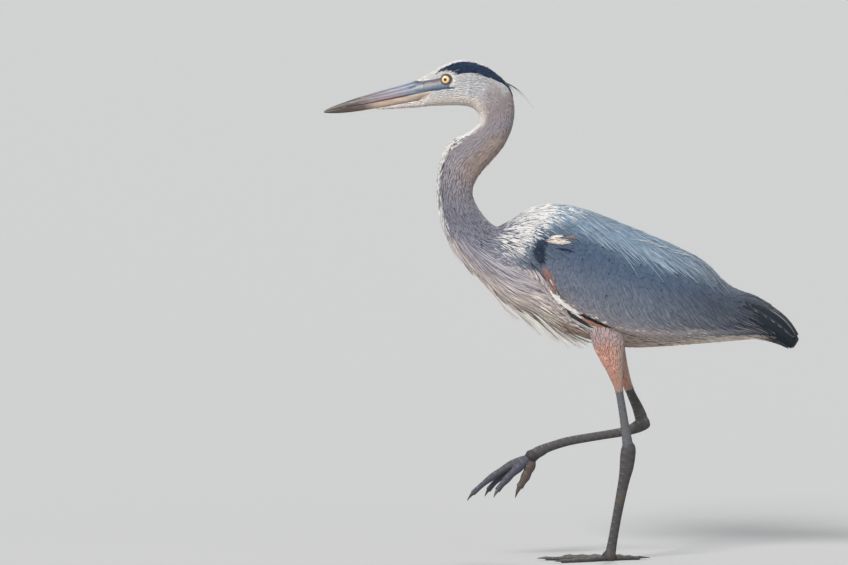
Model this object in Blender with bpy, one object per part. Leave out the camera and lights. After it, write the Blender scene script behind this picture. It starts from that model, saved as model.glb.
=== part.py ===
# Great blue heron, life size, as a still museum model: it wades on its left leg with its
# right foot lifted forward. The bill points along -X, the bird's left side faces -Y, and the
# sole of the standing foot lies on z = 0. All tables are in millimetres; meshes are in metres.
import math

import bpy
import numpy as np

MM = 0.001
GAP = 0.35  # clearance between neighbouring solids
PART_HALF = 0.2  # half the width of a thin cut across the body
AROUND = 20  # faces round the body
SOLE_FLAT = 0.82  # height of a toe's axis on the floor, as a share of its radius

# The head, neck, trunk and tail as one bent axis. Each station is a plane across the body:
# centre x, centre z, tilt of its back direction from +Z towards +X in degrees, half height,
# half width, and how much narrower the back is than the belly.
BODY = {
    "face": (-204.4, 679.6, -11.3, 19.2, 11.5, 0.10),
    "lores": (-186.0, 686.0, -7.0, 25.0, 16.0, 0.12),
    "eyes": (-165.3, 692.0, -2.0, 30.2, 19.0, 0.12),
    "cheek": (-144.3, 694.3, 5.0, 32.6, 20.8, 0.10),
    "crown": (-124.7, 690.5, 16.0, 32.0, 21.5, 0.08),
    "occiput": (-109.0, 680.2, 31.0, 30.0, 21.2, 0.04),
    "nape": (-98.6, 667.9, 47.0, 29.2, 20.5, 0.0),
    "throat": (-95.3, 653.2, 64.0, 27.9, 20.0, 0.0),
    "neck_1": (-96.2, 639.5, 78.0, 27.2, 20.0, 0.0),
    "neck_2": (-102.6, 624.6, 93.0, 27.9, 20.0, 0.0),
    "neck_3": (-113.5, 610.8, 108.0, 29.6, 20.0, 0.0),
    "neck_4": (-126.5, 599.6, 119.0, 31.0, 20.0, 0.0),
    "neck_5": (-139.2, 587.6, 124.0, 31.4, 20.0, 0.0),
    "neck_6": (-149.0, 572.0, 123.0, 30.1, 20.0, 0.0),
    "neck_7": (-154.6, 554.3, 116.0, 28.2, 20.5, 0.0),
    "neck_8": (-155.9, 536.9, 105.0, 27.7, 21.5, 0.0),
    "neck_9": (-152.0, 516.6, 95.0, 29.6, 23.0, 0.0),
    "neck_10": (-142.8, 494.8, 87.0, 33.4, 27.0, 0.0),
    "neck_11": (-130.5, 476.1, 74.0, 36.0, 31.0, 0.0),
    "root": (-115.6, 462.2, 48.8, 36.4, 36.0, 0.0),
    "chest": (-93.2, 452.0, 24.0, 48.2, 43.0, 0.05),
    "shoulder": (-61.7, 444.9, 13.7, 69.6, 50.0, 0.12),
    "keel": (-24.3, 438.2, 9.0, 81.3, 57.0, 0.16),
    "breast": (17.4, 423.0, 7.0, 89.0, 60.0, 0.18),
    "belly": (62.3, 407.0, 7.0, 88.5, 59.0, 0.18),
    "flank": (106.6, 394.0, 7.5, 83.5, 54.0, 0.18),
    "vent": (153.0, 384.5, 8.0, 73.0, 47.0, 0.16),
    "rump": (200.1, 374.6, 7.0, 59.0, 39.0, 0.12),
    "tail_root": (242.1, 359.9, 2.0, 40.2, 31.0, 0.05),
    "tail_mid": (282.8, 353.3, 0.0, 30.8, 27.0, 0.0),
    "tail_low": (319.0, 336.3, 7.4, 22.0, 24.0, 0.0),
    "tail_end": (339.7, 315.9, 33.0, 10.5, 17.0, 0.0),
}

# The bill: a straight mouth line from its tip, with the culmen above and the mandible below.
BILL_TIP = (-345.1, 652.0)
BILL_LENGTH = 142.6
BILL_RISE = math.radians(11.3)
CULMEN_DEPTH = 18.6
MANDIBLE_DEPTH = 9.6
BILL_HALF_WIDTH = 11.0
CHIN_START = 72.0
CHIN_DEPTH = 9.4
CHIN_HALF_WIDTH = 8.5

EYE_CENTRE = (-167.7, 13.2, 700.0)
EYE_RADIUS = 8.5

# The folded wing, as stations along the body: station number, upper edge and lower edge in
# degrees round from the back, and thickness at the middle.
WING = [
    (21.2, 66.0, 84.0, 3.0),
    (21.5, 50.0, 97.0, 10.0),
    (22.1, 35.0, 107.0, 12.0),
    (23.0, 25.0, 121.0, 11.0),
    (24.0, 20.0, 130.0, 10.0),
    (25.0, 19.0, 138.0, 9.5),
    (26.0, 20.0, 144.0, 9.0),
    (27.0, 22.0, 148.0, 8.0),
    (28.0, 26.0, 142.0, 7.0),
    (29.0, 36.0, 140.0, 6.0),
    (30.0, 42.0, 142.0, 5.0),
    (30.92, 58.0, 132.0, 3.0),
]
WING_SHEET_GAP = 1.7
WING_EDGE = 1.3

# Legs: x, y, z, half thickness fore and aft, half thickness across. Left is the standing leg.
LEG_LEFT = {
    "thigh": [
        (64.0, -31.0, 352.0, 27.0, 19.0),
        (67.0, -31.0, 323.0, 24.0, 18.0),
        (71.0, -30.5, 302.0, 18.6, 15.0),
        (76.0, -30.0, 282.0, 12.6, 11.0),
        (80.0, -29.5, 264.0, 8.4, 7.8),
        (82.3, -29.2, 252.0, 6.3, 5.8),
    ],
    "shank": [
        (82.3, -29.2, 252.0, 5.7, 5.2),
        (87.2, -28.6, 224.0, 5.9, 5.2),
        (91.2, -28.0, 198.0, 6.5, 5.5),
        (94.6, -27.5, 176.0, 7.6, 6.4),
        (96.0, -27.2, 164.0, 9.0, 7.0),
    ],
    "tarsus": [
        (95.6, -27.2, 174.5, 5.4, 4.6),
        (96.2, -27.0, 171.0, 8.6, 7.2),
        (96.6, -26.8, 164.5, 10.6, 8.6),
        (95.6, -26.2, 154.0, 11.2, 8.6),
        (93.8, -24.6, 137.0, 10.2, 7.4),
        (90.4, -22.4, 119.0, 8.4, 6.2),
        (85.4, -18.6, 93.0, 7.4, 5.6),
        (79.4, -14.0, 60.0, 6.8, 5.5),
        (74.0, -9.8, 28.0, 7.0, 6.2),
        (71.0, -8.0, 10.5, 8.0, 7.8),
    ],
}
LEG_RIGHT = {
    "thigh": [
        (60.0, 30.0, 362.0, 26.0, 18.0),
        (67.0, 30.0, 332.0, 22.0, 16.5),
        (78.0, 30.0, 302.0, 15.0, 12.0),
        (87.0, 29.5, 278.0, 10.0, 8.8),
        (92.8, 29.1, 261.0, 7.8, 7.0),
        (97.2, 28.8, 250.5, 7.0, 6.2),
    ],
    "shank": [
        (97.2, 28.8, 250.5, 6.4, 5.6),
        (102.9, 28.4, 237.0, 6.8, 5.8),
        (109.6, 27.9, 223.0, 7.8, 6.4),
        (114.6, 27.5, 210.0, 9.0, 7.2),
        (117.6, 27.2, 199.0, 9.6, 7.6),
    ],
    "tarsus": [
        (128.2, 27.0, 200.0, 4.6, 4.4),
        (125.4, 27.0, 199.2, 8.4, 7.2),
        (118.6, 27.0, 197.0, 10.4, 8.6),
        (110.0, 26.8, 192.0, 9.2, 7.8),
        (99.0, 26.4, 187.4, 7.4, 6.2),
        (82.0, 25.6, 183.4, 6.6, 5.5),
        (48.0, 23.8, 178.0, 6.4, 5.4),
        (10.0, 21.8, 171.4, 6.6, 5.6),
        (-18.0, 20.4, 163.0, 6.8, 6.0),
        (-34.0, 19.6, 156.2, 8.0, 7.6),
    ],
}
FOOT_LEFT = (69.0, -8.0, 6.4)
FOOT_RIGHT = (-42.0, 19.4, 151.0)
PAD = (10.2, 9.8, 8.6)

# Toes: length, angle from straight ahead towards the bird's outer side, radius, claw length.
TOES = {
    "toe_inner": (68.0, -33.0, 5.6, 12.0),
    "toe_middle": (92.0, -3.0, 5.6, 13.0),
    "toe_outer": (78.0, 27.0, 5.2, 11.0),
    "toe_hind": (46.0, 196.0, 5.8, 16.0),
}
# The lifted foot hangs half closed: middle and end of each toe, measured from the foot's pad.
LIFTED = {
    "toe_inner": ((-30.0, -10.0, -26.0), (-51.0, -21.0, -49.0)),
    "toe_middle": ((-45.0, 0.0, -22.0), (-87.0, 1.0, -55.5)),
    "toe_outer": ((-37.0, 12.0, -24.0), (-64.0, 22.0, -52.0)),
    "toe_hind": ((-7.0, -1.0, -24.0), (-19.0, -3.0, -46.0)),
}
LIFTED_SPREAD = {"toe_inner": 1.25, "toe_middle": 1.2, "toe_outer": 1.2, "toe_hind": 1.45}
TOE_TIP = 0.55  # a toe's radius at its end, as a share of its radius at the foot
CLAW_BASE = 0.82
CLAW_DROP = 0.2

# Long feathers of the lower neck, which hang in front of the belly, and of the nape.
PLUMES = 8
PLUME_RADIUS = 2.8
PLUME_SPREAD = 24.0
PLUME_REACH = 1.5
PLUME_LAYER = 3.4
PLUME_TIPS = [(21.6, 24.0), (22.2, 27.0), (22.8, 29.0), (23.3, 24.0), (23.7, 10.0)]
CREST_START = (-92.0, 698.0)
CREST_BEND = (-64.0, 684.0)
CREST_END = (-42.0, 658.5)
CREST_RADIUS = 1.3

COLOURS = {
    "grey": ((0.42, 0.45, 0.52), 0.75),
    "pale": ((0.72, 0.72, 0.74), 0.8),
    "neck": ((0.50, 0.47, 0.51), 0.8),
    "slate": ((0.16, 0.19, 0.25), 0.7),
    "plume": ((0.70, 0.63, 0.56), 0.8),
    "cinnamon": ((0.56, 0.27, 0.19), 0.8),
    "leg": ((0.17, 0.15, 0.14), 0.6),
    "bill": ((0.33, 0.31, 0.33), 0.35),
    "mandible": ((0.60, 0.45, 0.32), 0.4),
    "claw": ((0.06, 0.05, 0.05), 0.35),
    "iris": ((0.80, 0.60, 0.20), 0.1),
    "navy": ((0.03, 0.05, 0.10), 0.7),
}


def clear_scene():
    for obj in list(bpy.data.objects):
        bpy.data.objects.remove(obj)


def finish(name):
    # One Principled material for each colour of the bird.
    material = bpy.data.materials.get(name)
    if material is None:
        colour, roughness = COLOURS[name]
        material = bpy.data.materials.new(name)
        material.use_nodes = True
        shader = material.node_tree.nodes["Principled BSDF"]
        shader.inputs["Base Color"].default_value = (*colour, 1.0)
        shader.inputs["Roughness"].default_value = roughness
        shader.inputs["Metallic"].default_value = 0.0
    return material


def smooth(rows, at):
    # A smooth curve through the rows of a table, read at row numbers that may be fractions.
    rows = np.asarray(rows, float)
    at = np.clip(np.asarray(at, float), 0, len(rows) - 1)
    low = np.minimum(at.astype(int), len(rows) - 2)
    part = (at - low)[..., None]
    before, after = rows[np.maximum(low - 1, 0)], rows[np.minimum(low + 2, len(rows) - 1)]
    start, end = rows[low], rows[low + 1]
    return 0.5 * (
        2 * start
        + (end - before) * part
        + (2 * before - 5 * start + 4 * end - after) * part**2
        + (3 * start - before - 3 * end + after) * part**3
    )


def add_mesh(name, points, faces, colour, soft=40):
    mesh = bpy.data.meshes.new(name)
    mesh.from_pydata((np.asarray(points) * MM).tolist(), [], faces)
    mesh.materials.append(finish(colour))
    mesh.shade_smooth()
    mesh.set_sharp_from_angle(angle=math.radians(soft))
    obj = bpy.data.objects.new(name, mesh)
    bpy.context.scene.collection.objects.link(obj)
    return obj


def rings_solid(name, rings, colour):
    # A closed solid from rings of points, each ring's points running the same way round.
    count, around = rings.shape[:2]
    faces = []
    for i in range(count - 1):
        for j in range(around):
            a, b = i * around + j, i * around + (j + 1) % around
            faces.append((a, a + around, b + around, b))
    faces.append(tuple(range(around)))
    faces.append(tuple(range((count - 1) * around, count * around))[::-1])
    return add_mesh(name, rings.reshape(-1, 3), faces, colour)


def sheet_solid(name, outer, inner, colour):
    # A closed solid between two sheets of points, joined round their four edges.
    rows, columns = outer.shape[:2]
    size = rows * columns
    faces = []
    for i in range(rows - 1):
        for j in range(columns - 1):
            a, b = i * columns + j, i * columns + j + 1
            c, d = b + columns, a + columns
            faces.append((a, d, c, b))
            faces.append((size + a, size + b, size + c, size + d))
    edge = [j for j in range(columns)]
    edge += [i * columns + columns - 1 for i in range(1, rows)]
    edge += [(rows - 1) * columns + j for j in range(columns - 2, -1, -1)]
    edge += [i * columns for i in range(rows - 2, 0, -1)]
    for a, b in zip(edge, edge[1:] + edge[:1]):
        faces.append((a, b, size + b, size + a))
    points = np.concatenate([outer.reshape(-1, 3), inner.reshape(-1, 3)])
    return add_mesh(name, points, faces, colour)


def helper(obj):
    # A helper shapes other solids and isn't part of the bird.
    obj.hide_render = True
    obj.display_type = "WIRE"
    return obj


def carve(obj, *helpers, how="DIFFERENCE"):
    for other in helpers:
        change = obj.modifiers.new(how.lower() + " " + other.name, "BOOLEAN")
        change.operation = how
        change.solver = "EXACT"
        change.object = other


def body_point(station, angle, grow=0.0):
    # A point of the body's skin: station along the axis, angle round from the back, and
    # distance outwards. The section is an ellipse with its back pinched in.
    x, z, tilt, high, wide, pinch = np.moveaxis(smooth(list(BODY.values()), station), -1, 0)
    tilt = np.radians(tilt)
    up = (high + grow) * np.cos(angle)
    side = (wide + grow) * np.sin(angle) * (1 - pinch * np.cos(angle))
    return np.stack([x + up * np.sin(tilt), side, z + up * np.cos(tilt)], axis=-1)


def body_rings(start, end, per_station, grow=0.0, trim=True):
    # Rings from one station to another. A trimmed solid stops half a thin cut short of its
    # two end planes, so that neighbours keep a gap.
    count = max(3, round((end - start) * per_station) + 1)
    station = np.linspace(start, end, count)
    angle = np.linspace(0, 2 * np.pi, AROUND, endpoint=False)
    rings = body_point(station[:, None], angle[None, :], grow)
    for ring, here, sign in ((0, start, 1), (-1, end, -1)):
        tilt = math.radians(smooth(list(BODY.values()), here)[2])
        forward = np.array([math.cos(tilt), 0.0, -math.sin(tilt)])
        rings[ring] += forward * sign * (PART_HALF if trim else 0.0)
    return rings


def body_normal(station, angle, step=0.02):
    along = body_point(station + step, angle) - body_point(station - step, angle)
    across = body_point(station, angle + step) - body_point(station, angle - step)
    normal = np.cross(along, across)
    return normal / np.linalg.norm(normal, axis=-1, keepdims=True)


def tube_rings(path, around=10, per_point=2, grow=0.0, up=(1, 0, 0)):
    # Rings along a smooth path of rows x, y, z, half thickness towards up, half across.
    count = (len(path) - 1) * per_point + 1
    rows = smooth(path, np.linspace(0, len(path) - 1, count))
    centre, high, wide = rows[:, :3], rows[:, 3] + grow, rows[:, 4] + grow
    run = np.gradient(centre, axis=0)
    run /= np.linalg.norm(run, axis=1, keepdims=True)
    up = np.asarray(up, float) - (run @ np.asarray(up, float))[:, None] * run
    up /= np.linalg.norm(up, axis=1, keepdims=True)
    side = np.cross(up, run)
    angle = np.linspace(0, 2 * np.pi, around, endpoint=False)
    return (
        centre[:, None]
        + up[:, None] * (high[:, None] * np.cos(angle))[..., None]
        + side[:, None] * (wide[:, None] * np.sin(angle))[..., None]
    )


def ball(name, centre, size, colour, rows=8, around=14):
    # An ellipsoid as rings from pole to pole along Y, its poles closed by small caps.
    polar = np.linspace(0.12, np.pi - 0.12, rows)[:, None]
    angle = np.linspace(0, 2 * np.pi, around, endpoint=False)[None, :]
    rings = np.stack(
        [
            centre[0] + size[0] * np.sin(polar) * np.cos(angle),
            centre[1] - size[1] * np.cos(polar) + 0 * angle,
            centre[2] + size[2] * np.sin(polar) * np.sin(angle),
        ],
        axis=-1,
    )
    return rings_solid(name, rings, colour)


def bill_rings(profile, start, end, count=9, around=10):
    # Rings across the bill, read at distances back from its tip. profile gives, for each
    # distance, the height of the top and of the bottom over the mouth line, and half width.
    distance = np.linspace(start, end, count)
    top, bottom, wide = profile(distance)
    angle = np.linspace(0, 2 * np.pi, around, endpoint=False)
    round_up = np.maximum(np.cos(angle), 0)
    round_down = np.maximum(-np.cos(angle), 0)
    middle = np.where(np.abs(bottom) < np.abs(top), bottom, top)
    height = middle[:, None] + (top - middle)[:, None] * round_up
    height = height - (middle - bottom)[:, None] * round_down
    x = BILL_TIP[0] + distance[:, None] * math.cos(BILL_RISE) - height * math.sin(BILL_RISE)
    z = BILL_TIP[1] + distance[:, None] * math.sin(BILL_RISE) + height * math.cos(BILL_RISE)
    y = wide[:, None] * np.sin(angle)
    return np.stack([x, y, z], axis=-1)


def bill_width(distance):
    return 0.6 + (BILL_HALF_WIDTH - 0.6) * (distance / BILL_LENGTH) ** 0.8


def upper_profile(distance):
    top = 0.5 + (CULMEN_DEPTH - 0.5) * (distance / BILL_LENGTH) ** 0.58
    return top, np.full_like(distance, GAP / 2), bill_width(distance)


def mandible_depth(distance):
    return MANDIBLE_DEPTH * (1 - np.exp(-(distance + 2) / 28.0))


def lower_profile(distance):
    return (
        np.full_like(distance, -GAP / 2),
        -GAP - mandible_depth(distance),
        0.92 * bill_width(distance),
    )


def chin_profile(distance):
    share = (distance - CHIN_START) / (BILL_LENGTH - CHIN_START)
    top = -2 * GAP - mandible_depth(distance)
    return top, top - 0.6 - CHIN_DEPTH * share, 1.2 + (CHIN_HALF_WIDTH - 1.2) * share


def make_head():
    head = rings_solid("head", body_rings(0, 6.2, 2.2), "pale")
    for side, name in ((-1, "eye_left"), (1, "eye_right")):
        centre = np.array(EYE_CENTRE) * (1, side, 1)
        ball(name, centre, [EYE_RADIUS] * 3, "iris")
        carve(head, helper(ball(name + "_socket", centre, [EYE_RADIUS + GAP] * 3, "iris")))
    base = BILL_LENGTH - GAP
    rings_solid("bill_upper", bill_rings(upper_profile, 0, base), "bill")
    rings_solid("bill_lower", bill_rings(lower_profile, 0, base), "mandible")
    rings_solid("chin", bill_rings(chin_profile, CHIN_START, base, 6), "pale")


def make_neck_and_trunk():
    for name, start, end, colour in (
        ("neck_upper", 6.2, 11, "neck"),
        ("neck_middle", 11, 15, "neck"),
        ("neck_lower", 15, 19, "neck"),
        ("trunk", 19, 28, "grey"),
        ("tail", 28, 31, "slate"),
    ):
        rings_solid(name, body_rings(start, end, 2), colour)


def wing_sheets(side, grow):
    # The wing's outer and inner sheets, both read off the body's skin. The wing thickens
    # from its edges to its middle line, most at the bend of the wing. A grown copy is larger
    # all round and is used to cut a clearance.
    rows = np.array(WING)
    table = smooth(rows, np.linspace(0, len(rows) - 1, 17))
    station, upper, lower, thick = (table[:, [k]] for k in range(4))
    across = np.linspace(0, 1, 8)[None, :]
    angle = np.radians(upper + (lower - upper) * across + 2 * grow * (2 * across - 1))
    arch = np.sin(np.pi * across) ** 0.6
    station = station + 0 * angle
    normal = body_normal(station, angle)
    skin = body_point(station, angle)
    outer = skin + normal * (WING_SHEET_GAP + WING_EDGE + thick * arch + grow)[..., None]
    inner = skin + normal * (WING_SHEET_GAP - grow)
    flip = np.array([1, side, 1])
    if side > 0:
        return outer, inner
    return outer[:, ::-1] * flip, inner[:, ::-1] * flip


def make_wings():
    for side, name in ((-1, "wing_left"), (1, "wing_right")):
        sheet_solid(name, *wing_sheets(side, 0.0), "grey")


def make_claw(name, start, run, down, radius, length):
    # A claw: a tapering tube that starts a gap beyond the toe and hooks downwards.
    share = np.linspace(0, 1, 5)[:, None]
    centre = start + run * (GAP + length * share) + down * length * share**2
    thick = radius * CLAW_BASE * (1 - 0.85 * share)
    rows = np.hstack([centre, thick, 0.8 * thick])
    return rings_solid(name, tube_rings(rows, 7, 1, up=-down), "claw")


def toe_rows(start, middle, end, radius):
    # A toe's axis as a smooth bow from inside the pad to its tip, slim where the pad hides
    # it and swelling a little at each joint.
    share = np.linspace(0, 1, 7)[:, None]
    bow = (1 - share) ** 2 * start + share**2 * end
    bow = bow + 2 * share * (1 - share) * (2 * middle - 0.5 * (start + end))
    thick = radius * (1 + (TOE_TIP - 1) * share) * (1 + 0.08 * np.cos(6 * np.pi * share))
    thick = thick * (1 - 0.4 * (1 - share) ** 12)
    return np.hstack([bow, 0.92 * thick, thick])


def make_foot(side_name, pad, toe_ends, on_floor):
    # The pad's four toes. Each toe is cut back from the pad and from the toes before it.
    pad_cutter = helper(ball("pad_" + side_name, pad, np.array(PAD) + GAP, "leg"))
    toe_cutters = []
    for toe in ("toe_middle", "toe_inner", "toe_outer", "toe_hind"):
        length, _, radius, claw = TOES[toe]
        middle, end = toe_ends[toe]
        start = 0.96 * np.array(pad) + 0.04 * end
        rows = toe_rows(start, middle, end, radius)
        if on_floor:
            rows[:, 2] = rows[:, 3] * SOLE_FLAT
        else:
            rows[:, 3] *= LIFTED_SPREAD[toe]
            rows[:, 4] *= LIFTED_SPREAD["toe_middle"]
        name = f"{toe}_{side_name}"
        solid = rings_solid(name, tube_rings(rows, 9, 1, up=(0, 0, 1)), "leg")
        if on_floor:
            carve(solid, bpy.data.objects["floor_cutter"])
        carve(solid, *toe_cutters, pad_cutter)
        grown = tube_rings(rows, 9, 1, GAP, up=(0, 0, 1))
        toe_cutters.append(helper(rings_solid(name + "_grown", grown, "leg")))
        run = rows[-1, :3] - rows[-2, :3]
        run /= np.linalg.norm(run)
        down = np.array([0, 0, -1.0]) if on_floor else np.cross(run, (0, 1, 0))
        tip = rows[-1, 3]
        start = rows[-1, :3] + (0, 0, 0.35 * tip if on_floor else 0)
        drop = 0.08 if on_floor else CLAW_DROP
        make_claw(f"{toe.replace('toe', 'claw')}_{side_name}", start, run, down * drop, tip, claw)


def standing_toes(pad, outer_side):
    # Middle and end of each toe of the foot on the floor. outer_side is -1 for a left foot.
    ends = {}
    for toe, (length, spread, _, _) in TOES.items():
        heading = math.radians(spread)
        run = np.array([-math.cos(heading), outer_side * math.sin(heading), 0.0])
        side = np.array([run[1], -run[0], 0.0]) * outer_side
        middle = np.array(pad) + run * 0.5 * length + side * 0.03 * length
        ends[toe] = (middle, np.array(pad) + run * length)
    return ends


def lifted_toes(pad):
    return {toe: tuple(np.array(pad) + p for p in points) for toe, points in LIFTED.items()}


def make_legs():
    box = np.array([[x, y, z] for x in (-200, 260) for y in (-160, 160) for z in (-30, 0)])
    faces = [(0, 1, 3, 2), (4, 6, 7, 5), (0, 4, 5, 1), (2, 3, 7, 6), (0, 2, 6, 4), (1, 5, 7, 3)]
    floor = helper(add_mesh("floor_cutter", box, faces, "leg"))
    grown = body_rings(18.6, 28.4, 2, GAP + 0.1, False)
    trunk = helper(rings_solid("trunk_grown", grown, "grey"))
    for side, name, leg, pad in (
        (-1, "left", LEG_LEFT, FOOT_LEFT),
        (1, "right", LEG_RIGHT, FOOT_RIGHT),
    ):
        wing = helper(sheet_solid("wing_grown_" + name, *wing_sheets(side, GAP), "grey"))
        thigh = rings_solid("thigh_" + name, tube_rings(leg["thigh"], 14), "cinnamon")
        carve(thigh, trunk, wing)
        solids = {}
        for part in ("shank", "tarsus"):
            path = np.array(leg[part], float)
            first = path[1, :3] - path[0, :3]
            path[0, :3] += first / np.linalg.norm(first) * 2 * GAP
            rings = tube_rings(path, per_point=1)
            solids[part] = rings_solid(f"{part}_{name}", rings, "leg")
        if name == "left":
            ends = standing_toes(pad, -1)
        else:
            ends = lifted_toes(pad)
        foot = ball("foot_" + name, pad, PAD, "leg")
        grown = tube_rings(leg["tarsus"], per_point=1, grow=GAP)
        cutter = helper(rings_solid("tarsus_grown_" + name, grown, "leg"))
        carve(foot, cutter, floor)
        carve(solids["shank"], cutter)
        make_foot(name, pad, ends, name == "left")


def make_plumes():
    # The lower neck's long feathers: a layer over the front of the breast, from which
    # tapering plumes run back along the skin and lift away from it towards their tips.
    station = np.linspace(18.4, 22.6, 9)[:, None]
    across = np.linspace(0, 1, 9)[None, :]
    edge = 118 + 4.5 * (station - 18.4)
    angle = np.radians(edge + (360 - 2 * edge) * across)
    station = station + 0 * angle
    normal = body_normal(station, angle)
    skin = body_point(station, angle)
    swell = np.sin(np.pi * np.linspace(0.04, 0.96, 9))[:, None] ** 0.5
    swell = swell * np.sin(np.pi * (0.06 + 0.88 * across)) ** 0.4
    outer = skin + normal * (2.2 + PLUME_LAYER * swell)[..., None]
    inner = skin + normal * 1.4
    layer = sheet_solid("breast_plumes", outer, inner, "plume")
    run = np.linspace(0, 1, 6)
    for k in range(PLUMES):
        share = k / (PLUMES - 1)
        end, lift = smooth(PLUME_TIPS, share * (len(PLUME_TIPS) - 1))
        angle = math.pi + math.radians(PLUME_SPREAD) * math.sin(2.2 * k + 0.4) * (1 - 0.6 * share)
        station = end - PLUME_REACH * (1 - run)
        away = PLUME_RADIUS + 1.5 + (lift - PLUME_RADIUS) * run**1.5
        path = body_point(station, angle) + body_normal(station, angle) * away[:, None]
        thick = PLUME_RADIUS * (1 - 0.8 * run**1.5)
        rows = np.hstack([path, thick[:, None], thick[:, None]])
        plume = helper(rings_solid(f"plume_{k}", tube_rings(rows, 5, 1), "plume"))
        carve(layer, plume, how="UNION")


def make_crest():
    # Two thin plumes that trail from the back of the crown.
    for side, name in ((-1, "crest_plume_left"), (1, "crest_plume_right")):
        rows = [
            (CREST_START[0], side * 4.0, CREST_START[1], CREST_RADIUS, CREST_RADIUS),
            (CREST_BEND[0], side * 4.6, CREST_BEND[1], CREST_RADIUS, CREST_RADIUS),
            (CREST_END[0], side * 5.4, CREST_END[1], 0.4, 0.4),
        ]
        plume = rings_solid(name, tube_rings(rows, 6, 4), "navy")
        cutter = bpy.data.objects.get("head_grown")
        if cutter is None:
            grown = body_rings(0, 8, 2, GAP, False)
            cutter = helper(rings_solid("head_grown", grown, "pale"))
        carve(plume, cutter)


def centre_on_floor():
    # Moves the bird so that the middle of its outer box stands over the origin.
    frame = bpy.data.objects.new("heron", None)
    bpy.context.scene.collection.objects.link(frame)
    bpy.context.view_layer.update()
    graph = bpy.context.evaluated_depsgraph_get()
    lows, highs = [], []
    for obj in bpy.context.scene.objects:
        if obj.type != "MESH":
            continue
        obj.parent = frame
        if not obj.hide_render:
            corners = np.array(obj.evaluated_get(graph).bound_box)
            lows.append(corners.min(0))
            highs.append(corners.max(0))
    middle = (np.min(lows, 0) + np.max(highs, 0)) / 2
    frame.location = (-middle[0], -middle[1], 0.0)


clear_scene()
make_head()
make_neck_and_trunk()
make_wings()
make_legs()
make_plumes()
make_crest()
centre_on_floor()
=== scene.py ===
import bpy
import numpy as np
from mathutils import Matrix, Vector


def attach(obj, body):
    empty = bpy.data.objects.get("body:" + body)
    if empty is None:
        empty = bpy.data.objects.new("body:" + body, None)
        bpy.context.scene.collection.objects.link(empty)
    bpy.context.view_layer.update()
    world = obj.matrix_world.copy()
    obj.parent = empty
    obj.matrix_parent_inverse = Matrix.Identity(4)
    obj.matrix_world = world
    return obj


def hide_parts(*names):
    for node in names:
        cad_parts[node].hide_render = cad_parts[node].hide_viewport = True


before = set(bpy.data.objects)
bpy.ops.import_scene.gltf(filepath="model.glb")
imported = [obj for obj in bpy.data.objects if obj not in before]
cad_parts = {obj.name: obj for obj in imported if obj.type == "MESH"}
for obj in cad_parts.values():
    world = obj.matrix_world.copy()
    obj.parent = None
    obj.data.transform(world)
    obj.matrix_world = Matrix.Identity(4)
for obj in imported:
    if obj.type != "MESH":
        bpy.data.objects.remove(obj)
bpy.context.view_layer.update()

mm = 0.001  # the tables below are in millimetres
chance = np.random.default_rng(41)

# The bird is one sweep from its face to its tail: x, z, tilt of the section in degrees,
# half height, half width, and how far the back of the section is pinched in.
body = {
    "stations": [
        (-204.4, 679.6, -11.3, 19.2, 11.5, 0.10),  # 0 face
        (-186, 686, -7, 25, 16, 0.12),
        (-165.3, 692, -2, 30.2, 19, 0.12),  # 2 eyes
        (-144.3, 694.3, 5, 32.6, 20.8, 0.10),
        (-124.7, 690.5, 16, 32, 21.5, 0.08),
        (-109, 680.2, 31, 30, 21.2, 0.04),
        (-98.6, 667.9, 47, 29.2, 20.5, 0),  # 6 nape
        (-95.3, 653.2, 64, 27.9, 20, 0),
        (-96.2, 639.5, 78, 27.2, 20, 0),
        (-102.6, 624.6, 93, 27.9, 20, 0),
        (-113.5, 610.8, 108, 29.6, 20, 0),
        (-126.5, 599.6, 119, 31, 20, 0),
        (-139.2, 587.6, 124, 31.4, 20, 0),
        (-149, 572, 123, 30.1, 20, 0),
        (-154.6, 554.3, 116, 28.2, 20.5, 0),
        (-155.9, 536.9, 105, 27.7, 21.5, 0),
        (-152, 516.6, 95, 29.6, 23, 0),
        (-142.8, 494.8, 87, 33.4, 27, 0),
        (-130.5, 476.1, 74, 36, 31, 0),
        (-115.6, 462.2, 48.8, 36.4, 36, 0),  # 19 root of the neck
        (-93.2, 452, 24, 48.2, 43, 0.05),
        (-61.7, 444.9, 13.7, 69.6, 50, 0.12),
        (-24.3, 438.2, 9, 81.3, 57, 0.16),
        (17.4, 423, 7, 89, 60, 0.18),  # 23 breast
        (62.3, 407, 7, 88.5, 59, 0.18),
        (106.6, 394, 7.5, 83.5, 54, 0.18),
        (153, 384.5, 8, 73, 47, 0.16),
        (200.1, 374.6, 7, 59, 39, 0.12),
        (242.1, 359.9, 2, 40.2, 31, 0.05),  # 28 root of the tail
        (282.8, 353.3, 0, 30.8, 27, 0),
        (319, 336.3, 7.4, 22, 24, 0),
        (339.7, 315.9, 33, 10.5, 17, 0),
    ],
    # the folded wing: station, upper and lower edge in degrees from the back, thickness
    "wing": [
        (21.2, 66, 84, 3),
        (21.5, 50, 97, 10),
        (22.1, 35, 107, 12),
        (23, 25, 121, 11),
        (24, 20, 130, 10),
        (25, 19, 138, 9.5),
        (26, 20, 144, 9),
        (27, 22, 148, 8),
        (28, 26, 142, 7),
        (29, 36, 140, 6),
        (30, 42, 142, 5),
        (30.92, 58, 132, 3),
    ],
    "wingEdge": 3,
    # depth of the feathers over the skin: station, depth
    "coatDepth": [(0, 0.5), (1.6, 1.1), (4, 1.8), (8, 2.6), (15, 3.6), (21, 5), (27, 4.5), (31, 2.5)],
}


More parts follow.
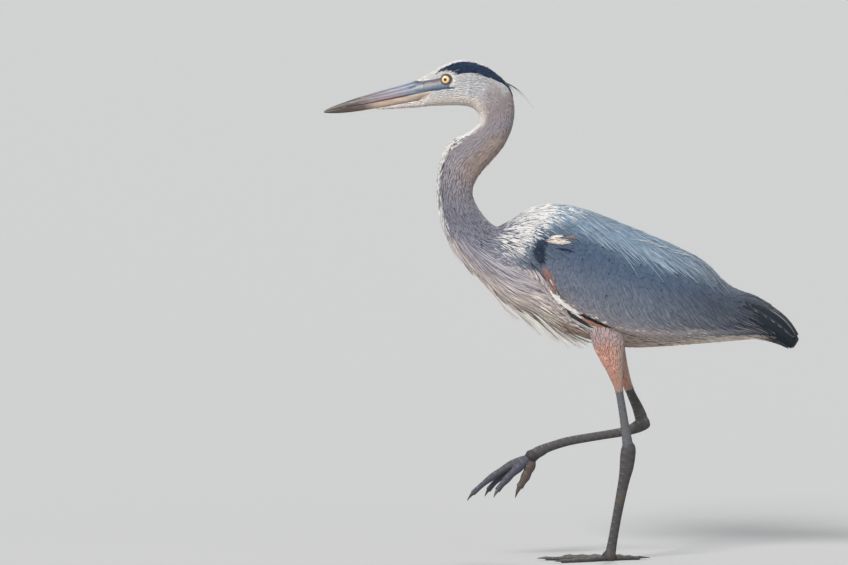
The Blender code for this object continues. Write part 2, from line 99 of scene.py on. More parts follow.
def readRows(rows, at):
    # A smooth curve through a table's rows, read at row numbers that may be fractions.
    rows = np.asarray(rows, float)
    at = np.clip(np.asarray(at, float), 0, len(rows) - 1)
    low = np.minimum(at.astype(int), len(rows) - 2)
    part = (at - low)[..., None]
    before, after = rows[np.maximum(low - 1, 0)], rows[np.minimum(low + 2, len(rows) - 1)]
    start, end = rows[low], rows[low + 1]
    bend = 2 * before - 5 * start + 4 * end - after
    return 0.5 * (
        2 * start + (end - before) * part + bend * part**2
        + (3 * start - before - 3 * end + after) * part**3
    )


def ease(value, low, high):
    # 0 below low, 1 above high, and a smooth S between them.
    share = np.clip((value - low) / (high - low), 0, 1)
    return share * share * (3 - 2 * share)


def fall(value, low, high):
    # 1 below low, 0 above high, and a smooth S between them.
    return 1 - ease(value, low, high)


def bell(value, middle, reach):
    # 1 at its middle, falling off evenly on both sides: exp of minus (distance / reach) squared.
    return np.exp(-(((value - middle) / reach) ** 2))


def shaken(size, count):
    # Chance shifts of a given size, small ones more often than large ones.
    return size * chance.standard_normal(count)


def varied(values, low, high):
    # Values multiplied by chance, evenly between two bounds.
    return values * chance.uniform(low, high, len(values))


def fullTurn(columns):
    # Angles of the columns round a tube.
    return np.linspace(0, 2 * np.pi, columns, endpoint=False)[None, :]


def track(at, *stops):
    # Straight lines between stops of (place, value).
    places, values = zip(*stops)
    return np.interp(at, places, values)


def toned(base, other, share):
    # Two colours mixed by a share that may vary from point to point.
    share = np.asarray(share, float)[..., None]
    return np.asarray(base, float) * (1 - share) + np.asarray(other, float) * share


def painted(colour, *coats):
    # Coats laid over a colour one after another, each a colour and the share it covers.
    for other, share in coats:
        colour = toned(colour, other, share)
    return colour


def tracked(*stops):
    # A function of one place: straight lines between stops of (place, value).
    return lambda at: track(at, *stops)


def tones(at, stops):
    # Colours on straight lines between stops of (place, colour).
    places, colours = zip(*stops)
    return np.stack([np.interp(at, places, channel) for channel in np.array(colours).T], -1)


def unit(vectors):
    # Vectors divided by their own lengths.
    return vectors / np.maximum(np.linalg.norm(vectors, axis=-1, keepdims=True), 1e-9)


bodyTable = np.array(body["stations"])
wingTable = np.array(body["wing"])
depthTable = np.array(body["coatDepth"], float)


def bodyPoint(station, angle, grow=0.0):
    # An ellipse across the axis at a station, at an angle from the back, grown outwards:
    # up = (high + grow) cos, side = (wide + grow) sin (1 - pinch cos), turned by the tilt.
    x, z, tilt, high, wide, pinch = np.moveaxis(readRows(bodyTable, station), -1, 0)
    tilt = np.radians(tilt)
    up = (high + grow) * np.cos(angle)
    side = (wide + grow) * np.sin(angle) * (1 - pinch * np.cos(angle))
    return np.stack([x + up * np.sin(tilt), side, z + up * np.cos(tilt)], axis=-1)


def wingRow(station):
    # The folded wing at a station: its upper and lower edge in degrees and its thickness, on
    # a smooth curve through its table.
    places = np.interp(station, wingTable[:, 0], np.arange(len(wingTable)))
    return np.moveaxis(readRows(wingTable, places)[..., 1:], -1, 0)


def wingSwell(station, angle):
    # How far the folded wing stands off the body: a sine arch between its two edges.
    upper, lower, thick = wingRow(station)
    across = np.clip((fromBack(angle) - upper) / (lower - upper), 0, 1)
    arch = np.sin(np.pi * across)
    inside = ease(station, 21.15, 21.4) * fall(station, 30.85, 31)
    return inside * (body["wingEdge"] * arch**0.25 + thick * arch**0.6)


def fromBack(angle):
    # Degrees round from the middle of the back, the same on both sides.
    return np.degrees(np.arccos(np.clip(np.cos(angle), -1, 1)))


def coatDepth(station):
    # Depth of the feathers over the skin, on straight lines between its stations.
    return np.interp(station, depthTable[:, 0], depthTable[:, 1])


def coatPoint(station, angle, grow=0.0):
    # The outer surface of the feathers: the body with its folded wings.
    return bodyPoint(station, angle, wingSwell(station, angle) + grow)


def tubePoint(rows, at, angle, grow=0.0, up=(1, 0, 0)):
    # A tube along a smooth path of rows x, y, z, half thickness towards up, half across.
    row = readRows(rows, at)
    step = 0.05  # rows before and after, between which the path's direction is taken
    run = unit(readRows(rows, at + step)[..., :3] - readRows(rows, at - step)[..., :3])
    up = np.asarray(up, float)
    up = unit(up - (run @ up)[..., None] * run)
    side = np.cross(up, run)
    return (
        row[..., :3]
        + up * ((row[..., 3] + grow) * np.cos(angle))[..., None]
        + side * ((row[..., 4] + grow) * np.sin(angle))[..., None]
    )


def finishMesh(name, points, faces, material, colours=None, maps=None, sharp=None):
    # A mesh object from arrays: points in millimetres, four-cornered faces, a colour for
    # each point and UV maps for each corner.
    mesh = bpy.data.meshes.new(name)
    mesh.vertices.add(len(points))
    mesh.vertices.foreach_set("co", (points * mm).astype(np.float32).ravel())
    mesh.loops.add(faces.size)
    mesh.loops.foreach_set("vertex_index", faces.astype(np.int32).ravel())
    mesh.polygons.add(len(faces))
    mesh.polygons.foreach_set("loop_start", np.arange(len(faces), dtype=np.int32) * faces.shape[1])
    mesh.update(calc_edges=True)
    mesh.polygons.foreach_set("use_smooth", np.ones(len(faces), bool))
    for key, values in (maps or {}).items():
        layer = mesh.uv_layers.new(name=key)
        layer.data.foreach_set("uv", values.astype(np.float32).ravel())
    if colours is not None:
        paint = mesh.color_attributes.new("plumage", "FLOAT_COLOR", "POINT")
        paint.data.foreach_set("color", colours.astype(np.float32).ravel())
    if sharp:
        mesh.set_sharp_from_angle(angle=np.radians(sharp))
    mesh.materials.append(material)
    obj = bpy.data.objects.new(name, mesh)
    bpy.context.scene.collection.objects.link(obj)
    return obj


def gridFaces(rows, around):
    # Four-cornered faces of a grid whose columns run round a tube, wound outwards.
    row = np.arange(rows - 1)[:, None]
    column = np.arange(around)[None, :]
    following = (column + 1) % around
    here, ahead = row * around, (row + 1) * around
    corners = (here + column, ahead + column, ahead + following, here + following)
    return np.stack(np.broadcast_arrays(*corners), -1).reshape(-1, 4)


def tubeMesh(rings, colour):
    # Points, faces and colours of a closed tube: its rings, with both ends drawn in to small
    # caps that share the colours of the rings beside them.
    count, around = rings.shape[:2]
    first, last = rings[0].mean(0), rings[-1].mean(0)
    capRings = [first + (rings[0] - first) * 0.02, *rings, last + (rings[-1] - last) * 0.02]
    k = np.arange(1, around // 2)  # strips across the two small end rings
    ends = np.stack([k - 1, k, around - 1 - k, (around - k) % around], -1)
    top = (count + 1) * around + ends[:, ::-1]
    colour = np.broadcast_to(colour, rings.shape)
    colours = np.concatenate([colour[:1], colour, colour[-1:]]).reshape(-1, 3)
    return np.concatenate(capRings), np.concatenate([gridFaces(count + 2, around), ends, top]), colours


# sections of a feather, as places across it and over it: a soft lock and a flat vane
lockRing = np.array([[1, 0], [0, 1], [-1, 0], [0, -1]], float)
vaneRing = np.array([[1, 0], [0.5, 0.9], [-0.5, 0.9], [-1, 0], [-0.4, -0.6], [0.4, -0.6]])
plainLook = dict(sway=0.0, climb=1.3, tilt=0.08, camber=0.1)
golden = 1.32471795724  # its powers spread a sequence evenly over a square
stray = 0.55  # how far a root may be nudged, as a share of the spacing
bakePatch = 0.003  # width of one feather's patch on the unwrap
toneLimits = (0.004, 0.86)  # darkest and palest that a feather may be


def surfaceRuns(surface, a, b, step=0.01):
    # The two tangents of a surface, by differences of its parameters.
    alongA = (surface(a + step, b) - surface(a - step, b)) / (2 * step)
    alongB = (surface(a, b + step) - surface(a, b - step)) / (2 * step)
    return alongA, alongB


def parameterMove(alongA, alongB, move):
    # The change of the two parameters that carries a point by a vector lying in the surface.
    aa, bb = (alongA * alongA).sum(-1), (alongB * alongB).sum(-1)
    ab = (alongA * alongB).sum(-1)
    ma, mb = (alongA * move).sum(-1), (alongB * move).sum(-1)
    area = np.maximum(aa * bb - ab * ab, 1e-6)
    return (ma * bb - mb * ab) / area, (mb * aa - ma * ab) / area


def scatter(low, high, edges, spacing, surface=coatPoint):
    # Even roots over a stretch of a surface: the area between the two edges, in units of
    # the spacing, is summed along the first parameter and filled by a golden sequence, and
    # each root is then nudged by a share of the spacing.
    a = np.linspace(low, high, 240)
    first, last = edges(a)
    middle = (first + last) / 2
    alongA, alongB = surfaceRuns(surface, a, middle)
    area = np.linalg.norm(np.cross(alongA, alongB), axis=-1) * (last - first)
    pace = area / spacing(a) ** 2 * (a[1] - a[0])
    total = np.concatenate([[0], np.cumsum((pace[1:] + pace[:-1]) / 2)])
    order = np.arange(int(total[-1]))
    rootA = np.interp((0.5 + order / golden) % 1 * total[-1], total, a)
    share = (0.5 + order / golden**2) % 1
    start, end = np.interp(rootA, a, first), np.interp(rootA, a, last)
    rootB = start + (end - start) * share
    alongA, alongB = surfaceRuns(surface, rootA, rootB)
    nudge = chance.uniform(-stray, stray, (2, len(order))) * spacing(rootA)
    rootA = np.clip(rootA + nudge[0] / np.linalg.norm(alongA, axis=-1), low, high)
    return rootA, rootB + nudge[1] / np.linalg.norm(alongB, axis=-1)


def rowShares(rows):
    # Shares of a feather's length at its rows, closer together towards the tip.
    return 1 - (1 - np.linspace(0, 1, rows)) ** 1.4


def leafWidth(share, belly, blunt):
    # Half width along a feather: an arch that is widest at its belly, from 0 to 1.
    bent = share ** (np.log(0.5) / np.log(belly))
    return np.maximum((4 * bent * (1 - bent)) ** blunt, 0.06)


def layFeathers(root, heading, length, width, look, ring=lockRing, surface=coatPoint):
    # Closed feathers that follow a surface. Each middle line is stepped over the surface in
    # the heading's direction; round each of its points stands a small ring, whose places
    # across are moves over the surface and whose heights are lifts above it.
    look = {**plainLook, **look}
    rows = look["rows"]
    share = rowShares(rows)
    a, b = (np.asarray(v, float) for v in root)
    count = len(a)
    length, width, sink, rise, sway = (
        np.broadcast_to(value, count)
        for value in (length, width, look["sink"], look["rise"], look["sway"])
    )
    half = width[:, None] * leafWidth(share, look["belly"], look["blunt"])[None] / 2
    half[:, 0] = np.maximum(half[:, 0], 0.2 * width)
    lift = rise[:, None] * share ** look["climb"] - sink[:, None] * (1 - share) ** 1.6
    thick = look["thick"] * np.sqrt(np.maximum(np.sin(np.pi * (0.08 + 0.86 * share)), 0.05))
    tilt = chance.uniform(-1, 1, count) * look["tilt"]
    points = np.empty((count, rows, len(ring), 3))
    steps = np.append(np.diff(share), 0)
    for r in range(rows):
        alongA, alongB = surfaceRuns(surface, a, b)
        normal = unit(np.cross(alongA, alongB))
        unitA = unit(alongA)
        unitB = np.cross(normal, unitA)
        turn = heading(a, b) + sway * share[r]
        run = unitA * np.cos(turn)[:, None] + unitB * np.sin(turn)[:, None]
        side = np.cross(normal, run)
        across = half[:, r, None] * ring[None, :, 0]
        moveA, moveB = parameterMove(
            alongA[:, None], alongB[:, None], side[:, None] * across[..., None]
        )
        over = lift[:, r, None] + thick[r] * ring[None, :, 1] / 2
        over = over + across * tilt[:, None] - look["camber"] * np.abs(across)
        points[:, r] = surface(a[:, None] + moveA, b[:, None] + moveB, over)
        stepA, stepB = parameterMove(alongA, alongB, run * length[:, None] * steps[r])
        a, b = a + stepA, b + stepB
    return points


def featherFaces(rows, around):
    # Faces of one feather, wound outwards, and its corners' places as shares of the way
    # round and along; each end is closed by one face, or by two if the ring has six points.
    row = np.arange(rows - 1)[:, None]
    column = np.arange(around)[None, :]
    following = (column + 1) % around
    corners = (
        row * around + column, row * around + following,
        (row + 1) * around + following, (row + 1) * around + column,
    )
    sides = np.stack(np.broadcast_arrays(*corners), -1).reshape(-1, 4)
    shape = (rows - 1, around, 4)
    turn = np.stack(np.broadcast_arrays(column, column + 1, column + 1, column), -1) / around
    turn = np.broadcast_to(turn, shape).reshape(-1, 4)
    along = rowShares(rows)[np.stack(np.broadcast_arrays(row, row, row + 1, row + 1), -1)]
    along = np.broadcast_to(along, shape).reshape(-1, 4)
    fan = np.array([(0, 1, 2, 3), (0, 3, 4, 5)][: around // 2 - 1])
    caps = np.concatenate([fan[:, ::-1], (rows - 1) * around + fan])
    turn = np.concatenate([turn, caps % around / around])
    along = np.concatenate([along, (caps // around) / (rows - 1)])
    return np.concatenate([sides, caps]), turn, along


def featherPiece(name, lots, material, nodes=(), sharp=None):
    # Joins lots of feathers in one mesh. A lot holds points, their colours with the
    # strength of the pale rim, the roots on the piece's own unwrap, and the lengths.
    points, faces, colours, bake, vane = [], [], [], [], []
    offset = 0
    for lot in lots:
        count, rows, around = lot["points"].shape[:3]
        ring = lockRing if around == 4 else vaneRing
        one, turn, along = featherFaces(rows, around)
        size = rows * around
        faces.append((one[None] + offset + size * np.arange(count)[:, None, None]).reshape(-1, 4))
        points.append(lot["points"].reshape(-1, 3))
        colours.append(lot["colours"].reshape(-1, 4))
        patch = np.stack([turn, along], -1) * bakePatch - bakePatch / 2
        bake.append((lot["place"][:, None, None] + patch[None]).reshape(-1, 2))
        across = ((ring[:, 0] + 1) / 2)[one % around]
        reach = along[None] * lot["length"][:, None, None] / 10
        vane.append(np.stack([np.broadcast_to(across, reach.shape), reach], -1).reshape(-1, 2))
        offset += count * size
    obj = finishMesh(
        name, np.concatenate(points), np.concatenate(faces), material, np.concatenate(colours),
        {"OFBake": np.concatenate(bake), "vane": np.concatenate(vane)}, sharp,
    )
    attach(obj, "root")
    if nodes:
        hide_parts(*nodes)
    print(f"{name}: {sum(len(f) for f in faces) * 2} triangles")
    return obj


def unwrapPlace(a, b, lowA, highA, lowB=-np.pi, highB=np.pi):
    # A root's place on an even unwrap of the surface, kept off the border by a margin.
    u = (a - lowA) / (highA - lowA)
    v = (b - lowB) / (highB - lowB)
    margin = 0.01
    return margin + (1 - 2 * margin) * np.clip(np.stack([u, v], -1), 0, 1)


def featherLot(points, base, tip, rim, place, length, vary, fade=1.5):
    # One colour at the root runs to another at the tip, with a chance shade for each feather.
    count, rows, around = points.shape[:3]
    share = rowShares(rows)[None, :, None] ** fade
    shade = 1 + shaken(vary, (count, 1, 1))
    colour = np.broadcast_to(base, (count, 3))[:, None] * (1 - share)
    colour = (colour + np.broadcast_to(tip, (count, 3))[:, None] * share) * np.clip(shade, 0.5, 1.6)
    colours = np.empty((count, rows, around, 4))
    colours[..., :3] = np.clip(colour, *toneLimits)[:, :, None]
    colours[..., 3] = np.broadcast_to(rim, count)[:, None, None]
    length = np.broadcast_to(length, count)
    return {"points": points, "colours": colours, "place": place, "length": length}


plumage = {
    "white": (0.81, 0.78, 0.74),
    "facePale": (0.70, 0.68, 0.665),
    "cheekBlue": (0.57, 0.56, 0.575),
    "throat": (0.79, 0.71, 0.65),
    "navy": (0.010, 0.022, 0.048),
    "mauve": (0.300, 0.264, 0.286),
    "mauveDark": (0.188, 0.184, 0.232),
    "buff": (0.40, 0.28, 0.21),
    "pinkBrown": (0.37, 0.295, 0.285),
    "streak": (0.045, 0.045, 0.055),
    # the back's slate blue, made paler by painted sunlight on the top of the back
    "sunlitBackBlue": (0.128, 0.190, 0.258),
    "shoulder": (0.150, 0.180, 0.240),
    "wingTop": (0.056, 0.084, 0.132),
    "wingMiddle": (0.112, 0.132, 0.170),
    "wingLow": (0.345, 0.305, 0.310),
    "wingRear": (0.038, 0.046, 0.062),
    "slate": (0.008, 0.012, 0.017),
    "cinnamon": (0.60, 0.305, 0.225),
    "rufous": (0.29, 0.145, 0.130),
    "plumeCream": (0.60, 0.52, 0.46),
    "plumePink": (0.50, 0.42, 0.41),
    "belly": (0.46, 0.34, 0.28),
    "undertail": (0.72, 0.62, 0.54),
}
tone = {key: np.array(value) for key, value in plumage.items()}

crownStripe = {  # station and degrees from the top of the head
    "upper": [(1.2, 42), (1.6, 29), (2.4, 20), (3.7, 19), (4.3, 12), (4.9, 5), (5.5, 0)],
    "lower": [(1.2, 42), (1.6, 37), (2.27, 51), (2.6, 64), (3.0, 58), (3.73, 56), (4.25, 52),
              (4.98, 32), (5.6, 20), (6.1, 8)],
}


def ripple(a, b, pace, seed):
    # Slow uneven waves from -1 to 1, as a sum of sines of the two parameters.
    return (
        np.sin(pace * a + 1.7 * seed) * np.cos(pace * 0.9 * b + seed)
        + 0.6 * np.sin(pace * 2.3 * a + pace * 1.6 * b + 2.9 * seed)
        + 0.35 * np.sin(pace * 4.1 * a - pace * 3.7 * b + seed)
    ) / 1.95


def crownShare(station, degrees):
    # 1 within the dark stripe over the eye.
    upper, lower = track(station, *crownStripe["upper"]), track(station, *crownStripe["lower"])
    inside = ease(degrees, upper - 1.5, upper + 1.5) * fall(degrees, lower - 2, lower + 2)
    return inside * ease(station, 1.15, 1.35) * fall(station, 6.0, 6.3)


def headTone(station, angle):
    # White on top, bluish on the cheek, cream below, browner behind, with the dark stripe.
    degrees = fromBack(angle)
    warm = ease(station, 4.2, 5.6) * ease(degrees, 38, 60) * fall(degrees, 118, 150)
    return painted(
        tone["white"],
        (tone["facePale"], ease(degrees, 30, 60)),
        (tone["cheekBlue"], 0.8 * ease(station, 2.6, 3.6) * fall(degrees, 105, 135)),
        (tone["throat"], ease(degrees, 110, 135)),
        (tone["pinkBrown"], 0.75 * warm),
        (tone["navy"], crownShare(station, degrees)),
    )


def neckTone(station, angle):
    # Lavender grey, buff along the back of the bend and darker low down; the front is white
    # behind a broken line of dark dashes, both with a wavy edge.
    degrees = fromBack(angle)
    wave = ripple(station * 2, angle, 2.2, 0.3)
    buff = ease(station, 8.2, 10) * fall(station, 12.2, 14.2)
    dashes = ease(np.sin(station * 9 + 5 * wave) + 0.4 * wave, -0.35, 0.25)
    line = bell(degrees - 143, 2.5 * wave, 3.6) * ease(station, 8.0, 9.2)
    return painted(
        tone["mauve"],
        (tone["mauveDark"], ease(station, 13, 17) * fall(degrees, 140, 165)),
        (tone["pinkBrown"], 0.7 * fall(station, 6.5, 8.5)),
        (tone["buff"], 0.62 * buff * fall(degrees, 62, 100)),
        (tone["cheekBlue"], 0.22 * fall(degrees, 12, 34) * ease(station, 12, 15)),
        (tone["throat"], fall(station, 7.2, 8.6) * ease(degrees, 118, 140)),
        (tone["white"], ease(degrees, 139 + 3 * wave, 148 + 3 * wave) * 0.95),
        (tone["streak"], np.clip(0.85 * line * dashes, 0, 0.85)),
    )


def trunkTone(station, angle):
    # Slate blue over the back, made paler there by painted sunlight, mauve grey on the low wing, dark
    # towards the tail.
    degrees = fromBack(angle)
    rear = ease(station, 24.8, 28.0) * (1 - 0.5 * ease(degrees, 95, 130))
    return painted(
        tone["sunlitBackBlue"],
        (tone["wingTop"], ease(degrees, 42, 64)),
        (tone["wingMiddle"], ease(degrees, 66, 96)),
        (tone["wingLow"], ease(degrees, 94, 132) * fall(station, 26.3, 28.4)),
        (tone["wingRear"], 0.85 * rear),
        (tone["slate"], ease(station, 27.6, 29.2)),
        (tone["shoulder"], fall(station, 20.6, 21.5) * ease(degrees, 40, 60)),
    )


def wristTone(station, angle, colour):
    # The bend of the wing: a dark patch, a rufous one below it, then a white edge and a thin
    # rufous one.
    degrees = fromBack(angle)

    def spot(at, middle, reach, spread):
        # 1 inside an ellipse round a station and a number of degrees, with a soft edge.
        return fall(((station - at) / reach) ** 2 + ((degrees - middle) / spread) ** 2, 0.6, 1.35)

    edge = track(station, *wingEdge)
    white = bell(degrees, edge, 2.5) * ease(station, 22.25, 22.5)
    warm = bell(degrees - edge, 1, 3.2) * ease(station, 23.35, 23.7)
    return painted(
        colour,
        (tone["navy"], spot(21.56, 80, 0.15, 7)),
        (tone["rufous"], spot(22.05, 99, 0.16, 5)),
        (tone["white"], white * fall(station, 23.4, 23.7)),
        (tone["rufous"] * 1.2, warm * fall(station, 24.4, 24.8)),
    )


def bellyTone(station, angle):
    # Warm grey, paler under the tail's root and dark on the tail, greyer towards the wing.
    return painted(
        tone["belly"],
        (tone["plumeCream"], 0.5 * ease(station, 24.5, 26)),
        (tone["undertail"], ease(station, 26.2, 27.5)),
        (tone["slate"], ease(station, 28.7, 29.3)),
        (tone["wingLow"] * 0.8, 0.35 * fall(fromBack(angle), 140, 160)),
    )


def bodyTone(station, angle):
    # Every marking of the body at once, for the skin below the feathers.
    degrees = fromBack(angle)
    colour = toned(headTone(station, angle), neckTone(station, angle), ease(station, 6.0, 6.5))
    # the mantle's white on the skin: partly pale plumage and partly painted sunlight
    back = toned(trunkTone(station, angle), tone["white"] * 0.85, 0.85 * mantlePaleAndSunlit(station, degrees))
    below = bellyTone(station, angle)
    front = tone["plumePink"] * 0.95
    trunk = toned(back, below, ease(degrees, 134, 142) * ease(station, 23, 24))
    trunk = toned(trunk, front, ease(degrees, 100, 120) * fall(station, 22.2, 23.4))
    return toned(colour, trunk, ease(station, 18.2, 19.6))


def mantlePaleAndSunlit(station, degrees):
    # The pale hair-like feathers over the front of the back; their white is partly their own pale grey and
    # partly painted sunlight.
    low = track(station, (18.2, 34), (19.0, 62), (20.2, 84), (20.8, 78), (21.6, 52), (22.4, 34), (23.4, 14))
    reach = ease(station, 18.0, 18.7) * fall(station, 22.0, 23.8)
    return reach * fall(degrees, low - 12, low + 5)


class Wire:
    # A shader socket that can be added, multiplied and so on; each sum adds a Math node.
    def __init__(self, tree, socket):
        self.tree, self.socket = tree, socket

    def maths(self, operation, *values):
        # One Math node over its values, which are sockets or plain numbers.
        return self.tree.add("ShaderNodeMath", {"operation": operation}, dict(enumerate(values)))

    def __add__(self, other):
        return self.maths("ADD", self, other)

    def __sub__(self, other):
        return self.maths("SUBTRACT", self, other)

    def __rsub__(self, other):
        return self.maths("SUBTRACT", other, self)

    def __mul__(self, other):
        return self.maths("MULTIPLY", self, other)

    __radd__, __rmul__ = __add__, __mul__

    def between(self, low, high):
        # 0 below low, 1 above high, smooth between.
        values = {"Value": self, "From Min": low, "From Max": high}
        return self.tree.add("ShaderNodeMapRange", {"interpolation_type": "SMOOTHSTEP"}, values)

    def beside(self, out):
        # Another output of the same node.
        return Wire(self.tree, self.socket.node.outputs[out])


class Finish:
    # A material being wired: nodes are added by type, settings and socket values.
    def __init__(self, name, roughness, **fixed):
        self.material = bpy.data.materials.new(name)
        self.material.use_nodes = True
        self.nodes, self.links = self.material.node_tree.nodes, self.material.node_tree.links
        self.shader = self.nodes["Principled BSDF"]
        self.shader.inputs["Roughness"].default_value = roughness
        for key, value in fixed.items():
            self.shader.inputs[key.replace("_", " ")].default_value = value

    def add(self, kind, settings=None, values=None, out=0):
        # Every node is made here: its type, then its settings, then its sockets.
        node = self.nodes.new(kind)
        for key, value in (settings or {}).items():
            setattr(node, key, value)
        for key, value in (values or {}).items():
            self.feed(node.inputs[key], value)
        return Wire(self, node.outputs[out])

    def feed(self, socket, value):
        # A socket is linked to another one, or holds a plain value.
        if isinstance(value, Wire):
            self.links.new(value.socket, socket)
        else:
            socket.default_value = value

    def mix(self, share, first, second, blend="MIX"):
        # Two colours mixed by a share, through the colour sockets of the Mix node.
        settings = {"data_type": "RGBA", "blend_type": blend}
        return self.add("ShaderNodeMix", settings, {0: share, 6: first, 7: second}, out=2)

    def shaded(self, colour, bright):
        # A colour times a brightness that is the same in all three channels.
        grey = self.add("ShaderNodeCombineColor", None, {0: bright, 1: bright, 2: bright})
        return self.mix(1.0, colour, grey, "MULTIPLY")

    def place(self):
        # The point's own coordinates on its object.
        return self.add("ShaderNodeTexCoord", out="Object")

    def mapped(self, scale, turn):
        # The place turned and then stretched along each axis.
        values = {"Vector": self.place(), "Scale": scale, "Rotation": turn}
        return self.add("ShaderNodeMapping", None, values)

    def noise(self, scale, detail, vector=None):
        # Cloudy noise from 0 to 1 at a number of waves to the metre.
        values = {"Vector": vector or self.place(), "Scale": scale, "Detail": detail}
        return self.add("ShaderNodeTexNoise", None, values, out="Fac")

    def tint(self, out="Color"):
        # The colour painted on the points, or its alpha.
        return self.add("ShaderNodeAttribute", {"attribute_name": "plumage"}, out=out)

    def bump(self, height, strength, distance):
        # Relief from a height that stands for a distance in metres.
        values = {"Height": height, "Strength": strength, "Distance": distance}
        return self.add("ShaderNodeBump", None, values)

    def done(self, **links):
        # Feeds the surface's sockets, named with underscores, and gives the material.
        for key, value in links.items():
            self.feed(self.shader.inputs[key.replace("_", " ")], value)
        return self.material


def featherFinish(name, barbPitch, barbDepth, rimTone, roughness=0.78, sheen=0.25, shaft=0.0):
    # Vertex colours broken by fine slanting barbs, a shaft line and a pale worn rim. The
    # feather's own map gives the place across it and the centimetres along it.
    finish = Finish(name, roughness, Sheen_Weight=sheen, Sheen_Roughness=0.5, Specular_IOR_Level=0.2)
    vane = finish.add("ShaderNodeUVMap", {"uv_map": "vane"})
    across = finish.add("ShaderNodeSeparateXYZ", None, {0: vane}, out="X")
    along = across.beside("Y")
    fromShaft = finish.add("ShaderNodeMath", {"operation": "ABSOLUTE"}, {0: across * 2 - 1})
    waver = finish.noise(260, 2)
    phase = (along + fromShaft * -0.35 + waver * 0.06) * (2 * np.pi * 10 / barbPitch)
    barbs = finish.add("ShaderNodeMath", {"operation": "SINE"}, {0: phase}) * 0.5 + 0.5
    mottle = finish.noise(55, 3)
    bright = (barbs * barbDepth + (1 - barbDepth / 2)) * (mottle * 0.3 + 0.85)
    colour = finish.shaded(finish.tint(), bright)
    rim = fromShaft.between(0.62, 0.95) * finish.tint("Alpha") * (0.65 + 0.35 * barbs)
    colour = finish.mix(rim, colour, (*rimTone, 1))
    if shaft:
        line = (1 - fromShaft.between(0.03, 0.14)) * shaft
        colour = finish.mix(line, colour, (0.02, 0.022, 0.026, 1))
    relief = finish.bump(barbs + mottle * 0.8, 0.35, 0.0004)
    rough = roughness - 0.08 + mottle * 0.16
    return finish.done(Base_Color=colour, Roughness=rough, Normal=relief)


def hideFinish():
    # Bare skin and scales: vertex colours, a cracked net of small plates on the legs, which
    # the alpha of the colours marks, fine creases on the face, and mud in patches.
    finish = Finish("heronHide", 0.55, Specular_IOR_Level=0.4)
    scaly = finish.tint("Alpha")
    cells = finish.add("ShaderNodeTexVoronoi", {"feature": "DISTANCE_TO_EDGE"},
                       {"Vector": finish.place(), "Scale": 520.0}, out="Distance")
    crack = (1 - cells.between(0.02, 0.14)) * scaly
    stain, fine = finish.noise(38, 4), finish.noise(700, 3)
    colour = finish.mix(crack * 0.45, finish.tint(), (0.012, 0.011, 0.010, 1))
    mud = stain.between(0.52, 0.7) * scaly
    colour = finish.mix(mud * 0.4, colour, (0.12, 0.092, 0.065, 1))
    colour = finish.shaded(colour, fine * 0.4 + 0.8)
    height = finish.bump(cells.between(0.0, 0.16) * scaly + fine * 0.3, 0.5, 0.0005)
    return finish.done(Base_Color=colour, Roughness=0.42 + stain * 0.3, Normal=height)


def hornFinish(name, roughness, streaks, grain):
    # Horn: vertex colours, long fine growth streaks and small pits and chips.
    finish = Finish(name, roughness, Specular_IOR_Level=0.45)
    long = finish.mapped(streaks, (0, 0.197, 0))  # level with the bill
    streak, spot = finish.noise(1.0, 4, long), finish.noise(grain, 4)
    colour = finish.shaded(finish.tint(), (streak * 0.9 + 0.55) * (spot * 0.5 + 0.75))
    chips = spot.between(0.62, 0.72)
    colour = finish.mix(chips * 0.35, colour, (0.05, 0.04, 0.03, 1))
    relief = finish.bump(streak + spot * 0.4, 0.3, 0.0004)
    return finish.done(Base_Color=colour, Roughness=roughness - 0.1 + streak * 0.25, Normal=relief)


